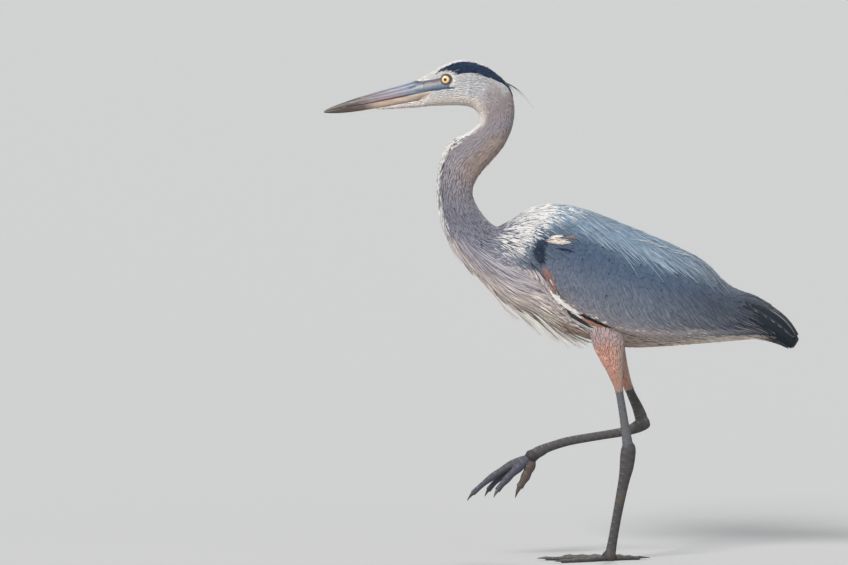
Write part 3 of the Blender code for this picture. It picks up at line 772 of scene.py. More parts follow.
legs = {
    # x, y, z, half thickness fore and aft, half thickness across; the left leg stands
    "leftUpper": [
        (64, -31, 352, 27, 19),
        (67, -31, 323, 24, 18),
        (71, -30.5, 302, 18.6, 15),
        (76, -30, 282, 12.6, 11),
        (80, -29.5, 264, 8.4, 7.8),
        (82.3, -29.2, 252, 6.1, 5.6),  # 5 end of the thigh's feathers
        (87.2, -28.6, 224, 5.9, 5.2),
        (91.2, -28, 198, 6.5, 5.5),
        (94.6, -27.5, 176, 7.6, 6.4),
        (96, -27.2, 164, 9, 7),
    ],
    "leftLower": [
        (95.6, -27.2, 174.5, 5.4, 4.6),
        (96.2, -27, 171, 8.6, 7.2),
        (96.6, -26.8, 164.5, 10.6, 8.6),
        (95.6, -26.2, 154, 11.2, 8.6),
        (93.8, -24.6, 137, 10.2, 7.4),
        (90.4, -22.4, 119, 8.4, 6.2),
        (85.4, -18.6, 93, 7.4, 5.6),
        (79.4, -14, 60, 6.8, 5.5),
        (74, -9.8, 28, 7, 6.2),
        (71, -8, 10.5, 8, 7.8),
    ],
    "rightUpper": [
        (60, 30, 362, 26, 18),
        (67, 30, 332, 22, 16.5),
        (78, 30, 302, 15, 12),
        (87, 29.5, 278, 10, 8.8),
        (92.8, 29.1, 261, 7.8, 7),
        (97.2, 28.8, 250.5, 6.6, 5.8),
        (102.9, 28.4, 237, 6.8, 5.8),
        (109.6, 27.9, 223, 7.8, 6.4),
        (114.6, 27.5, 210, 9, 7.2),
        (117.6, 27.2, 199, 9.6, 7.6),
    ],
    "rightLower": [
        (128.2, 27, 200, 4.6, 4.4),
        (125.4, 27, 199.2, 8.4, 7.2),
        (118.6, 27, 197, 10.4, 8.6),
        (110, 26.8, 192, 9.2, 7.8),
        (99, 26.4, 187.4, 7.4, 6.2),
        (82, 25.6, 183.4, 6.6, 5.5),
        (48, 23.8, 178, 6.4, 5.4),
        (10, 21.8, 171.4, 6.6, 5.6),
        (-18, 20.4, 163, 6.9, 6.2),
        (-30, 19.8, 157.6, 8.2, 7.8),
        (-41, 19.4, 151.5, 8.6, 8.4),
    ],
    "leftPad": (69, -8, 6.4),
    "rightPad": (-42, 19.4, 151),
    "padSize": (10.8, 10, 9),
    # length, degrees from straight ahead, radius, claw
    "toes": {
        "inner": (68, -33, 5.6, 12),
        "middle": (92, -3, 5.6, 13),
        "outer": (78, 27, 5.2, 11),
        "hind": (46, 196, 5.8, 16),
    },
    # middle and end of each toe of the lifted foot from its pad, and its spread
    "lifted": {
        "inner": ((-30, -8, -26), (-51, -18, -49), 1.5),
        "middle": ((-45, 0, -22), (-87, 1, -55.5), 1.35),
        "outer": ((-37, 9, -24), (-64, 18, -52), 1.45),
        "hind": ((-7, -1, -24), (-19, -3, -46), 1.75),
    },
    "toeTip": 0.55,
    "soleFlat": 0.82,
    "thighCoat": (1.1, 1, 0.8, 0.6, 0.4, 0.2),  # depth of the feathers at the thigh's rows
    "scuteStep": 5.2,
    "scuteDepth": 0.32,
    "hideDark": (0.038, 0.034, 0.034),
    "hideLight": (0.155, 0.150, 0.155),
    "hideBlue": (0.045, 0.050, 0.082),
    "hideBrown": (0.085, 0.052, 0.036),
    "shank": (0.150, 0.152, 0.175),
    "mud": (0.20, 0.175, 0.145),
}


def scutes(along, angle, front=1.0):
    # Overlapping plates down the front, small round ones behind: raised shares of a plate's
    # height, as a rounded saw along the leg and a product of waves round it.
    step = legs["scuteStep"]
    part = (along / step) % 1
    plates = 1 - np.abs(2 * part - 1) ** 7
    tiny = step / 2.1
    stagger = np.cos(angle * 6 + np.pi * np.floor(along / tiny))
    net = 1 - np.abs(np.sin(np.pi * along / tiny) * stagger) ** 0.5
    facing = ease(-np.cos(angle), 0.1, 0.5) * front
    return legs["scuteDepth"] * (plates * facing + 0.5 * net * (1 - facing))


def toeRows(start, middle, end, radius):
    # A toe's axis: a smooth bow from inside the pad to its tip, swelling at each joint.
    share = np.linspace(0, 1, 7)[:, None]
    bow = (1 - share) ** 2 * start + share**2 * end
    bow = bow + 2 * share * (1 - share) * (2 * middle - 0.5 * (start + end))
    thick = radius * (1 + (legs["toeTip"] - 1) * share) * (1 + 0.08 * np.cos(6 * np.pi * share))
    thick = thick * (1 - 0.4 * (1 - share) ** 12)
    return np.hstack([bow, 0.92 * thick, thick])


def footToes(side):
    # Every toe of a foot as tube rows, standing on the floor or hanging half closed.
    found = {}
    pad = np.array(legs[side + "Pad"])
    for toe, sizes in legs["toes"].items():
        length, spread, radius = sizes[:3]
        if side == "left":
            heading = np.radians(spread)
            run = np.array([-np.cos(heading), -np.sin(heading), 0.0])
            across = -np.array([run[1], -run[0], 0.0])
            end = pad + run * length
            middle = pad + run * 0.5 * length + across * 0.03 * length
        else:
            middle, end = (pad + np.array(p) for p in legs["lifted"][toe][:2])
        rows = toeRows(0.96 * pad + 0.04 * end, middle, end, radius)
        if side == "left":
            rows[:, 2] = rows[:, 3] * legs["soleFlat"]
        else:
            rows[:, 3] *= legs["lifted"][toe][2]
            rows[:, 4] *= 1.2
        found[toe] = rows
    return found


def hideTone(along, angle, dark, light):
    # Leg colour: dark plates with pale worn edges, paler in front and muddy low down.
    part = (along / legs["scuteStep"]) % 1
    worn = bell(part, 0.08, 0.10) + bell(part, 1.08, 0.10)
    front = ease(-np.cos(angle), 0.0, 0.7)
    speck = ripple(along * 0.6, angle * 2.3, 1.0, 1.3)
    colour = toned(dark, light, np.clip(0.18 + 0.2 * speck + 0.45 * worn * front, 0, 1))
    return toned(colour, legs["mud"], 0.45 * ease(speck, 0.25, 0.8) * front)


def legTube(rows, start, end, pitch, around, tint, up=(1, 0, 0), floor=False, front=1.0):
    # A length of leg or toe with its scales, as a closed tube and its colours.
    places = np.linspace(start, end, 200)
    steps = np.diff(readRows(rows, places)[:, :3], axis=0)
    reach = np.concatenate([[0], np.cumsum(np.linalg.norm(steps, axis=1))])
    along = np.linspace(0, reach[-1], int(reach[-1] / pitch) + 2)
    at = np.interp(along, reach, places)[:, None]
    angle = fullTurn(around)
    facing = angle + np.pi if up == (0, 0, 1) else angle  # plates lie on top of a toe
    relief = scutes(along[:, None], facing, front) - legs["scuteDepth"]
    rings = tubePoint(rows, at, angle, relief, up)
    if floor:
        rings[..., 2] = np.maximum(rings[..., 2], 0.0)
    return tubeMesh(rings, hideTone(along[:, None], facing, *tint))


head = {
    "eye": (-167.7, 13.2, 700),
    "eyeRadius": 8.5,
    "lidRadius": 7,
    "lidThick": 1.25,
    "gape": ((-206, 680.1), (-195, 682.9), (-154.5, 688.4)),  # x and z of the mouth line
    "gapeDepth": 1.1,
    "loreTop": ((-208, 695.5), (-199, 698.6), (-186, 700.8), (-174, 704)),
    "loreBands": [  # share of the way up from the mouth line, and colour
        (0.00, (0.018, 0.026, 0.042)),
        (0.08, (0.050, 0.085, 0.135)),
        (0.34, (0.095, 0.145, 0.205)),
        (0.46, (0.25, 0.25, 0.27)),
        (0.62, (0.31, 0.255, 0.24)),
        (0.74, (0.13, 0.115, 0.135)),
        (0.88, (0.030, 0.042, 0.068)),
        (1.00, (0.070, 0.085, 0.115)),
    ],
    "lidTone": (0.085, 0.078, 0.055),
    "mandibleTone": (0.45, 0.36, 0.295),
}


def mandibleShare(points):
    # The bare base of the lower bill, bounded behind by the curved edge of the cheek.
    x, z = points[..., 0], points[..., 2]
    low = track(x, *head["gape"])
    edge = -190.0 - 11.5 * np.clip((low - z) / 15, 0, 1) ** 1.5
    height = ease(z, 668.2, 669.6) * fall(z, low - 0.4, low + 0.4)
    return fall(x, edge - 0.8, edge + 0.6) * height


def loreShare(points):
    # How bare the skin is: the wedge between bill and eye, the base of the lower bill, the mouth's corner
    # with its dark band, widened under the eye by a painted shadow of the lower lid, and the eye's own
    # ring.
    x, z = points[..., 0], points[..., 2]
    low, top = track(x, *head["gape"]), track(x, *head["loreTop"])
    inside = ease(z, low - 1.6, low - 0.2) * fall(z, top - 1.2, top + 1.2)
    inside = inside * fall(x, -174, -168)
    # Under the eye the dark band over the mouth line reaches higher: the real dark line and above it a
    # painted shadow of the lower lid.
    taper = 1.4 + 4.2 * fall(x, -172, -154)
    under = ease(z, low - 1.8, low - 0.4) * fall(z, low + taper - 1, low + taper + 0.6)
    under = under * fall(x, -157, -152)
    away = np.hypot(x - head["eye"][0], z - head["eye"][2])
    ring = fall(away, head["lidRadius"] + 1.6, head["lidRadius"] + 3.0)
    return np.maximum.reduce([inside, under, ring, mandibleShare(points)])


def loreTone(points):
    # Bands between the mouth line and the brow, drawn out into slanting streaks.
    x, z = points[..., 0], points[..., 2]
    low, top = track(x, *head["gape"]), track(x, *head["loreTop"])
    streak = ripple(x * 0.22 + z * 0.5, z * 1.1 - x * 0.12, 1.0, 0.7)
    up = (z - low) / np.maximum(top - low, 3.0) + 0.10 * streak
    grime = ease(ripple(x * 0.5, z * 2.2, 1.0, 4.1), 0.3, 0.8)
    away = np.hypot(x - head["eye"][0], z - head["eye"][2])
    return painted(
        tones(up, head["loreBands"]),
        ((0.055, 0.050, 0.060), 0.35 * grime),
        (head["mandibleTone"], mandibleShare(points)),
        (tone["throat"], fall(z, 667.6, 669.2)),
        (head["lidTone"], fall(away, head["lidRadius"] + 0.6, head["lidRadius"] + 1.8)),
    )


def faceRelief(points):
    # The mouth's fold, a soft ridge above it and fine creases over the bare skin.
    x, z = points[..., 0], points[..., 2]
    low = track(x, *head["gape"])
    reach = ease(x, -206, -200) * fall(x, -158, -153)
    fold = bell(z, low, 0.8) - 0.5 * bell(z - low, 2.2, 1.2)
    crease = 0.16 * np.sin(1.9 * z + 0.55 * x + 0.8 * np.sin(0.3 * x)) * loreShare(points)
    return -head["gapeDepth"] * fold * reach + crease


def bodySkin():
    # The bare body under the feathers, swollen where the wings fold over it.
    runs = ((0, 3.2, 76), (3.3, 8, 46), (8.15, 31, 130))  # first, last and number of rings
    station = np.concatenate([np.linspace(*run) for run in runs])
    angle = np.linspace(0, 2 * np.pi, 96, endpoint=False)
    station, angle = np.meshgrid(station, angle, indexing="ij")
    turned = np.where(angle > np.pi, angle - 2 * np.pi, angle)
    outer = coatPoint(station, turned)
    face = station < 3.4
    bare, under = loreShare(outer) * face, mandibleShare(outer) * face
    inset = coatDepth(station) * (1 - bare) + (0.3 + 0.9 * fall(station, 0.1, 0.5)) * bare
    inset = inset + 1.3 * under * fall(station, 0.4, 1.0)
    relief = np.where(face, faceRelief(outer), 0)
    colour = bodyTone(station, turned) * 0.85
    colour = toned(colour, loreTone(outer), np.maximum(bare, fall(station, 0.02, 0.10)))
    return tubeMesh(coatPoint(station, turned, relief - inset), colour)


def eyeLids(side):
    # A soft ring of skin round the eye, its upper lid a little heavier than its lower one.
    x, y, z = head["eye"]
    rows, around = 56, 14
    across = fullTurn(rows).T
    turn = fullTurn(around)
    wide = head["lidRadius"] + head["lidThick"] * np.cos(turn)
    thick = head["lidThick"] * (1 + 0.25 * np.sin(across))
    depth = 4.4 + thick * 0.8 * np.sin(turn)
    oval = 1 + 0.07 * np.cos(2 * across)
    points = np.stack([
        x + wide * np.cos(across) * oval,
        side * (y + depth),
        z + wide * np.sin(across) / oval,
    ], axis=-1).reshape(-1, 3)
    faces = gridFaces(rows + 1, around) % len(points)
    if side > 0:
        faces = faces[:, ::-1]
    return points, faces, np.broadcast_to(head["lidTone"], points.shape)


bill = {
    "tip": (-345.1, 652),
    "length": 142.6,
    "buried": 9,  # how far the horn runs on inside the face
    "rise": np.radians(11.3),
    "culmen": 18.6,
    "mandible": 9.6,
    "halfWidth": 11,
    "gap": 0.35,
    "chinStart": 72,
    "chinDepth": 9.4,
    "chinHalfWidth": 8.5,
    "groove": 0.75,
    "nostril": (129, 138.5),
    "upperTones": [  # distance from the tip, and colour of the side
        (0, (0.055, 0.042, 0.032)), (34, (0.050, 0.037, 0.030)), (56, (0.085, 0.062, 0.055)),
        (74, (0.140, 0.112, 0.128)), (104, (0.150, 0.130, 0.160)), (126, (0.140, 0.160, 0.215)),
        (143, (0.115, 0.165, 0.225)),
    ],
    "lowerTones": [
        (0, (0.060, 0.044, 0.032)), (34, (0.070, 0.048, 0.036)), (58, (0.11, 0.075, 0.060)),
        (76, (0.44, 0.31, 0.24)), (100, (0.52, 0.375, 0.29)), (143, (0.56, 0.46, 0.37)),
    ],
}


def billPoint(distance, height, y):
    # Distance back from the bill's tip and height over its mouth line, turned by its rise.
    tipX, tipZ = bill["tip"]
    x = tipX + distance * np.cos(bill["rise"]) - height * np.sin(bill["rise"])
    z = tipZ + distance * np.sin(bill["rise"]) + height * np.cos(bill["rise"])
    return np.stack(np.broadcast_arrays(x, y, z), -1)


def billWidth(distance):
    # Half width of the bill, which grows with a power of the distance from the tip.
    return 0.6 + (bill["halfWidth"] - 0.6) * (np.maximum(distance, 0) / bill["length"]) ** 0.8


def mandibleDepth(distance):
    # Depth of the lower half under the mouth line, which levels off behind the tip.
    return bill["mandible"] * (1 - np.exp(-(distance + 2) / 28.0))


def chinPoint(distance, angle, grow=0.0):
    # The feathered wedge under the lower mandible: depth and width grow towards the face.
    share = np.clip((distance - bill["chinStart"]) / (bill["length"] - bill["chinStart"]), 0, 1.05)
    top = -2 * bill["gap"] - mandibleDepth(distance)
    depth = 0.6 + bill["chinDepth"] * share
    down = np.maximum(-np.cos(angle), 0)
    height = top - (depth + grow) * down + grow * np.maximum(np.cos(angle), 0) * 0.3
    wide = 1.2 + (bill["chinHalfWidth"] - 1.2) * share + grow
    return billPoint(distance, height, wide * np.sin(angle))


def chinSkin():
    # The bare wedge under the chin's feathers.
    distance = np.linspace(bill["chinStart"] + 3, bill["length"] + 4, 30)[:, None]
    angle = fullTurn(32)
    return tubeMesh(chinPoint(distance, angle, -0.9), tone["throat"])


def padSkin(side):
    # The ball of the foot: an ellipsoid of rings along y, standing flat on the floor.
    long, wide, high = legs["padSize"]
    x, y, z = legs[side + "Pad"]
    polar = np.linspace(0.12, np.pi - 0.12, 22)[:, None]
    angle = fullTurn(32)
    rings = np.stack(np.broadcast_arrays(
        x + long * np.sin(polar) * np.cos(angle),
        y - wide * np.cos(polar),
        z + high * np.sin(polar) * np.sin(angle),
    ), axis=-1)
    if side == "left":
        rings[..., 2] = np.maximum(rings[..., 2], 0.0)
    return tubeMesh(rings, legs["hideDark"])


hide = hideFinish()
darkTint = (np.array(legs["hideDark"]), np.array(legs["hideLight"]))
blueTint = (np.array(legs["hideBlue"]), np.array(legs["hideLight"]) * 0.9)
brownTint = (np.array(legs["hideBrown"]), np.array(legs["hideLight"]) * 0.8)
shankTint = (np.array(legs["shank"]) * 0.6, np.array(legs["shank"]) * 1.3)
smoothShells = 4  # the body, the chin and the two eyelids, which have no scales


def skinShells():
    # Every shell of the skin, before they are joined; the smooth ones come first.
    shells = [bodySkin(), chinSkin(), eyeLids(-1), eyeLids(1)]
    for side in ("left", "right"):
        upper = np.array(legs[side + "Upper"])
        upper[: len(legs["thighCoat"]), 3:] -= np.array(legs["thighCoat"])[:, None]
        thigh = tone["cinnamon"] * 0.8, tone["cinnamon"]
        shells.append(legTube(upper, 0, 5, 3.0, 28, thigh, front=0.0))
        shank = shankTint if side == "left" else darkTint
        shells.append(legTube(upper, 4.8, 9, 1.1, 36, shank, front=0.4))
        lower = np.array(legs[side + "Lower"])
        shells.append(legTube(lower, 0, len(lower) - 1, 1.1, 40, darkTint))
        shells.append(padSkin(side))
        for toe, rows in footToes(side).items():
            wet = brownTint if toe == "hind" else blueTint
            tint = darkTint if side == "left" else wet
            shells.append(legTube(rows, 0, 6, 1.15, 26, tint, (0, 0, 1), side == "left"))
    return shells


def joinSkin():
    # One closed skin: the shells are joined by an exact union, then the creases where they
    # met are relaxed by averaging each point with its neighbours, most at the crease.
    shells = skinShells()
    objects = []
    for k, (points, faces, colour) in enumerate(shells):
        scaly = np.full((len(points), 1), float(k >= smoothShells))
        rgba = np.concatenate([colour, scaly], 1)
        obj = finishMesh(f"skinShell{k}", points, faces, hide)
        paint = obj.data.color_attributes.new("plumage", "FLOAT_COLOR", "CORNER")
        paint.data.foreach_set("color", rgba[faces.ravel()].astype(np.float32).ravel())
        mark = obj.data.attributes.new("shell", "INT", "FACE")
        mark.data.foreach_set("value", np.full(len(faces), k, np.int32))
        objects.append(obj)
    skin, others = objects[0], objects[1:]
    group = bpy.data.collections.new("skinShells")
    for obj in others:
        group.objects.link(obj)
    union = skin.modifiers.new("union", "BOOLEAN")
    union.operation, union.solver = "UNION", "EXACT"
    union.operand_type, union.collection = "COLLECTION", group
    bpy.context.view_layer.update()
    graph = bpy.context.evaluated_depsgraph_get()
    joined = bpy.data.meshes.new_from_object(skin.evaluated_get(graph), depsgraph=graph)
    skin.modifiers.clear()
    skin.data = joined
    for obj in others:
        bpy.data.objects.remove(obj)
    bpy.data.collections.remove(group)
    skin.name = joined.name = "heronSkin"
    relaxCreases(joined)
    return skin


def readAll(items, key, width=1, kind=np.int32):
    # A row of values for every item of a mesh.
    values = np.empty(len(items) * width, kind)
    items.foreach_get(key, values)
    return values.reshape(-1, width)


def relaxCreases(mesh, rounds=10):
    # Points whose faces come from different shells, and their near neighbours, move towards
    # the mean of their neighbours; the weight fades over a few edges.
    count = len(mesh.vertices)
    points = readAll(mesh.vertices, "co", 3, np.float32).astype(float)
    edges = readAll(mesh.edges, "vertices", 2)
    shell = readAll(mesh.attributes["shell"].data, "value")[:, 0]
    corner = readAll(mesh.loops, "vertex_index")[:, 0]
    owner = np.repeat(shell, readAll(mesh.polygons, "loop_total")[:, 0])
    least, most = np.full(count, 10**6), np.full(count, -1)
    np.minimum.at(least, corner, owner)
    np.maximum.at(most, corner, owner)
    lids = (most >= smoothShells - 2) & (most < smoothShells)
    weight = ((least != most) & ~lids).astype(float)
    for step in range(3):
        reach = np.maximum(weight[edges[:, 0]], weight[edges[:, 1]]) * 0.72
        np.maximum.at(weight, edges[:, 0], reach)
        np.maximum.at(weight, edges[:, 1], reach)
    weight[weight < 0.3] = 0
    degree = np.bincount(edges.ravel(), minlength=count)[:, None]
    for step in range(rounds):
        total = np.zeros((count, 3))
        np.add.at(total, edges[:, 0], points[edges[:, 1]])
        np.add.at(total, edges[:, 1], points[edges[:, 0]])
        points += (total / degree - points) * 0.6 * weight[:, None]
    mesh.vertices.foreach_set("co", points.astype(np.float32).ravel())
    mesh.update()


skin = joinSkin()
skin.data.polygons.foreach_set("use_smooth", np.ones(len(skin.data.polygons), bool))
fleshNodes = ["head", "chin", "trunk", "tail", "neck_upper", "neck_middle", "neck_lower"]
for side in ("left", "right"):
    fleshNodes += [f"{part}_{side}" for part in ("wing", "thigh", "shank", "tarsus", "foot")]
    fleshNodes += [f"toe_{toe}_{side}" for toe in legs["toes"]]
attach(skin, "root")
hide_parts(*fleshNodes)
print(f"heronSkin: {sum(len(p.vertices) - 2 for p in skin.data.polygons)} triangles")


def upperSurface(distance, angle, grow=0.0):
    # The upper half of the bill: an arch over the mouth line, deep in proportion to a power
    # of the distance from the tip, with a narrow ridge along its top.
    top = 0.5 + (bill["culmen"] - 0.5) * (np.maximum(distance, 0) / bill["length"]) ** 0.58
    over = np.maximum(np.cos(angle), 0)
    height = bill["gap"] / 2 + (top - bill["gap"] / 2 + grow) * over
    ridge = bell(np.sin(angle), 0, 0.16) * (np.cos(angle) > 0)
    height = height + 0.4 * ridge * ease(distance, 8, 60) * fall(distance, 132, 142)
    flare = 0.45 * ease(distance, 128, 142)
    return billPoint(distance, height + flare * over, (billWidth(distance) + flare + grow) * np.sin(angle))


def upperBill():
    # The horn of the upper half, with a long groove from the nostril down each side, a slit
    # for the nostril and a blunt cutting edge.
    distance = np.linspace(0, bill["length"] + bill["buried"], 156)[:, None]
    angle = fullTurn(72)
    share = np.maximum(np.cos(angle), 0)
    groove = bell(share, 0.60, 0.09) * ease(distance, 48, 84)
    start, end = bill["nostril"]
    slit = bell(share, 0.60, 0.05) * ease(distance, start - 1, start + 1)
    slit = slit * fall(distance, end - 1, end + 1)
    rings = upperSurface(distance, angle)
    rings[..., 1] -= (bill["groove"] * groove + 0.8 * slit) * np.sin(angle)
    streak = ripple(distance * 0.045, share * 11, 1.0, 2.2)
    ridge = bell(np.sin(angle), 0, 0.26) * (np.cos(angle) > 0)
    pale = np.clip(bell(share, 0.76, 0.07) + 0.8 * bell(share, 0.42, 0.06), 0, 1)
    warm = bell(share, 0.18, 0.14) * ease(distance, 52, 72) * fall(distance, 104, 130)
    edge = fall(share, 0.02, 0.16) * ease(distance, 24, 50)
    chipped = ripple(distance * 0.22, share * 9 + angle * 0.3, 1.0, 6.4)
    patches = ease(chipped, 0.25, 0.6) * ease(distance, 14, 26) * fall(distance, 60, 84)
    colour = painted(
        tones(distance, bill["upperTones"]),
        # painted highlight: a pale line along the ridge of the bill
        ((0.50, 0.52, 0.56), 0.7 * ridge * ease(distance, 40, 84)),
        ((0.30, 0.24, 0.20), 0.35 * ridge * ease(distance, 6, 30) * fall(distance, 40, 60)),
        # painted highlights: two pale bands along the upper side of the bill near its base
        ((0.46, 0.47, 0.54), 0.5 * pale * ease(distance, 70, 104)),
        ((0.055, 0.060, 0.085), np.clip(0.55 * groove + 0.30 * streak, 0, 0.75)),
        ((0.36, 0.25, 0.25), 0.55 * warm),
        ((0.045, 0.036, 0.042), 0.85 * edge),
        ((0.24, 0.20, 0.19), 0.45 * patches),
        (loreTone(rings), ease(distance, 131, 142)),
        ((0.006, 0.006, 0.008), slit),
    )
    return rings, colour


def lowerBill():
    # The lower half: a shallow keel under the mouth line, flat above.
    distance = np.linspace(0, bill["length"] + 2 * bill["buried"], 144)[:, None]
    angle = fullTurn(60)
    depth = mandibleDepth(distance) + bill["gap"] / 2
    down = np.maximum(-np.cos(angle), 0)
    wide = (0.92 + 0.10 * ease(distance, 112, 142)) * billWidth(distance)
    wide = wide + 3.2 * ease(distance, 139, 163)
    rings = billPoint(distance, -bill["gap"] / 2 - depth * down, wide * np.sin(angle))
    streak = ripple(distance * 0.06, down * 8, 1.0, 5.1)
    colour = painted(
        tones(distance, bill["lowerTones"]),
        ((0.20, 0.15, 0.13), np.clip(0.25 * streak, 0, 0.35)),
        ((0.09, 0.085, 0.10), 0.65 * fall(down, 0.0, 0.16) * ease(distance, 20, 60)),
        (head["mandibleTone"], ease(distance, 118, 138)),
    )
    return rings, colour


def hornPiece(name, rings, colour, material, slot, nodes):
    # A closed tube of horn, or an eye, as a piece of its own.
    points, faces, colour = tubeMesh(rings, colour)
    rgba = np.concatenate([np.clip(colour, 0.003, 0.9), np.zeros((len(colour), 1))], 1)
    obj = finishMesh(name, points, faces, material, rgba)
    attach(obj, "root")
    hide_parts(*nodes)
    return obj


billHorn = hornFinish("billHorn", 0.42, (26, 300, 300), 150)
hornPiece("billUpper", *upperBill(), billHorn, "bill_horn", ["bill_upper"])
hornPiece("billLower", *lowerBill(), billHorn, "mandible_horn", ["bill_lower"])
print("bill made")

eye = {
    "turn": 0.20,  # how far the pupil looks forwards
    "iris": 5.9,
    "pupil": 2.15,
    "irisInner": (0.86, 0.62, 0.34),
    "irisOuter": (0.62, 0.30, 0.10),
    "rim": (0.030, 0.022, 0.014),
    "black": (0.010, 0.004, 0.003),
}


def eyeFinish():
    # A clear wet coat over the iris, whose own colour is faintly grained.
    finish = Finish("eyeGloss", 0.12, Specular_IOR_Level=0.5, Coat_Weight=1.0, Coat_Roughness=0.03)
    return finish.done(Base_Color=finish.shaded(finish.tint(), finish.noise(900, 3) * 0.35 + 0.82))


def eyeBall(side):
    # A sphere about its own line of sight, its cornea a little prouder; iris fibres run out
    # from the pupil. polar is the angle from the line of sight.
    centre = np.array([head["eye"][0], side * head["eye"][1], head["eye"][2]])
    sight = unit(np.array([-eye["turn"], side, 0.02]))
    up = unit(np.array([0.0, 0.0, 1.0]) - sight * sight[2])
    across = np.cross(up, sight)
    polar = np.concatenate([np.linspace(0.01, 0.9, 44), np.linspace(0.94, np.pi - 0.05, 22)])[:, None]
    angle = fullTurn(64)
    out = head["eyeRadius"] * np.sin(polar)
    proud = head["eyeRadius"] + 0.25 * fall(out, 4.2, 6.6) * (polar < 1.5)
    ring = proud * np.sin(polar)
    points = (
        centre + sight * (proud * np.cos(polar))[..., None]
        + across * (ring * np.cos(angle))[..., None] + up * (ring * np.sin(angle))[..., None]
    )
    fibre = 0.5 + 0.5 * np.sin(angle * 31 + 2.5 * np.sin(angle * 7))
    outer = ease(out, eye["iris"] * 0.62, eye["iris"] * 0.98)
    colour = toned(eye["irisInner"], eye["irisOuter"], outer)
    colour = colour * (0.86 + 0.2 * fibre * ease(out, eye["pupil"], eye["pupil"] + 2))[..., None]
    colour = painted(
        colour,
        (eye["rim"], ease(out, eye["iris"] - 0.35, eye["iris"] + 0.25)),
        (eye["rim"], polar > 1.2),
        (eye["black"], fall(out, eye["pupil"] - 0.15, eye["pupil"] + 0.15)),
    )
    return points, colour


eyeGloss = eyeFinish()
for side, word in ((-1, "left"), (1, "right")):
    hornPiece(f"{word}Eye", *eyeBall(side), eyeGloss, "eye", [f"eye_{word}"])


def clawRings(side, toe, rows):
    # A claw: a hooked tube that tapers to a blunt point past the end of its toe.
    claw = legs["toes"][toe][3]
    share = np.linspace(0, 1, 22)[:, None]
    run = unit(rows[-1, :3] - rows[-2, :3])
    if side == "left":
        down, drop, start = np.array([0, 0, -1.0]), 0.08, rows[-1, :3] + (0, 0, 0.35 * rows[-1, 3])
    else:
        down, drop, start = np.cross(run, (0, 1, 0)), 0.2, rows[-1, :3]
    start = start - run * 1.6
    reach = claw + 1.9
    centre = start + run * (reach * share) + down * drop * claw * share**2
    thick = rows[-1, 3] * 0.80 * (1 - 0.9 * share**0.85)
    path = np.hstack([centre, thick, 0.8 * thick])
    at = np.linspace(0, len(path) - 1, 40)[:, None]
    angle = fullTurn(18)
    rings = tubePoint(path, at, angle, up=tuple(-down))
    return rings, toned((0.085, 0.066, 0.05), (0.022, 0.018, 0.016), at / at.max())


clawHorn = hornFinish("clawHorn", 0.38, (120, 160, 120), 320)
for side in ("left", "right"):
    for toe, rows in footToes(side).items():
        name = f"claw{toe.capitalize()}{side.capitalize()}"
        hornPiece(name, *clawRings(side, toe, rows), clawHorn, "claw_horn", [f"claw_{toe}_{side}"])
print("eyes and claws made")


def stationPace(station):
    # Millimetres of axis in one station.
    axis = readRows(bodyTable, station + 0.3)[..., :2] - readRows(bodyTable, station - 0.3)[..., :2]
    return np.maximum(np.linalg.norm(axis, axis=-1) / 0.6, 8.0)


def sideSign(angle):
    # 1 on the bird's right, where angles run from 0 to a half turn, and -1 on its left.
    return np.where(np.sin(angle) >= 0, 1.0, -1.0)


def straight(station, angle):
    # A heading along the axis, with no turn.
    return np.zeros(len(station))


def swept(turn):
    # A heading from a turn in radians that is given by station and degrees from the back,
    # and mirrored on the other side.
    return lambda station, angle: sideSign(angle) * turn(station, fromBack(angle))


def allRound(station):
    # Edges of a stretch that goes right round, from belly to belly.
    return np.full(len(station), -np.pi), np.full(len(station), np.pi)


def between(low, high, side):
    # Edges of a stretch on one side, given in degrees from the back.
    def edges(station):
        first, last = np.radians(low(station)), np.radians(high(station))
        return (first, last) if side > 0 else (-last, -first)
    return edges


def beneath(low):
    # Edges of a stretch that runs under the belly from one side to the other.
    def edges(station):
        first = np.radians(low(station))
        return first, 2 * np.pi - first
    return edges


def level(value):
    # The same value at every station.
    return lambda station: np.full(len(station), float(value))


def keep(root, mask):
    # The roots that a mask lets through.
    return root[0][mask], root[1][mask]


def sampled(root, length, jitter=1.0):
    # Where a feather reads its colour: half way along it, with a ragged edge.
    station, angle = root
    ahead = station + 0.5 * length / stationPace(station)
    ahead = ahead + shaken(0.04 * jitter, len(station))
    return ahead, angle + shaken(0.03 * jitter, len(station))


faceDown = dict(rows=4, sink=0.9, rise=0.25, belly=0.5, blunt=0.6, thick=0.2, tilt=0.05)
crownDown = dict(rows=6, sink=1.2, rise=0.7, belly=0.5, blunt=0.6, thick=0.42, tilt=0.16)


def headPlumage(name, low, high, lots=()):
    # Fine down over the head, shortest at the bill and longest on the nape.
    spacing = tracked((0, 1.15), (1.2, 1.35), (3, 1.6), (6.5, 2.0))
    root = scatter(low, high, allRound, spacing)
    bare = loreShare(coatPoint(*root)) >= 0.35
    dark = crownShare(root[0], fromBack(root[1])) >= 0.6
    root = keep(root, ~bare & ~dark)
    count = len(root[0])
    length = varied(track(root[0], (0, 2.6), (1, 4.2), (2.5, 6.2), (4.5, 9.5), (6.5, 11.5)), 0.75, 1.2)
    width = track(root[0], (0, 0.8), (2.5, 1.15), (6.5, 1.6))
    look = dict(faceDown, sink=coatDepth(root[0]) * 0.8, sway=shaken(0.12, count))
    lifted = track(root[0], (0, 0.10), (3, 0.22), (6.5, 0.5))
    look["rise"] = lifted * chance.uniform(0.4, 1.6, count)
    points = layFeathers(root, headHeading, length, width, look)
    at = sampled(root, length)
    colour = toned(headTone(*at), neckTone(*at), ease(at[0], 6.0, 6.5))
    tip = np.minimum(colour * 1.05, 0.84)
    lot = featherLot(points, colour * 0.94, tip, 0.15, unwrapPlace(*root, 0, 6.6), length, 0.05)
    return featherPiece(name, [lot, *lots], headDown)


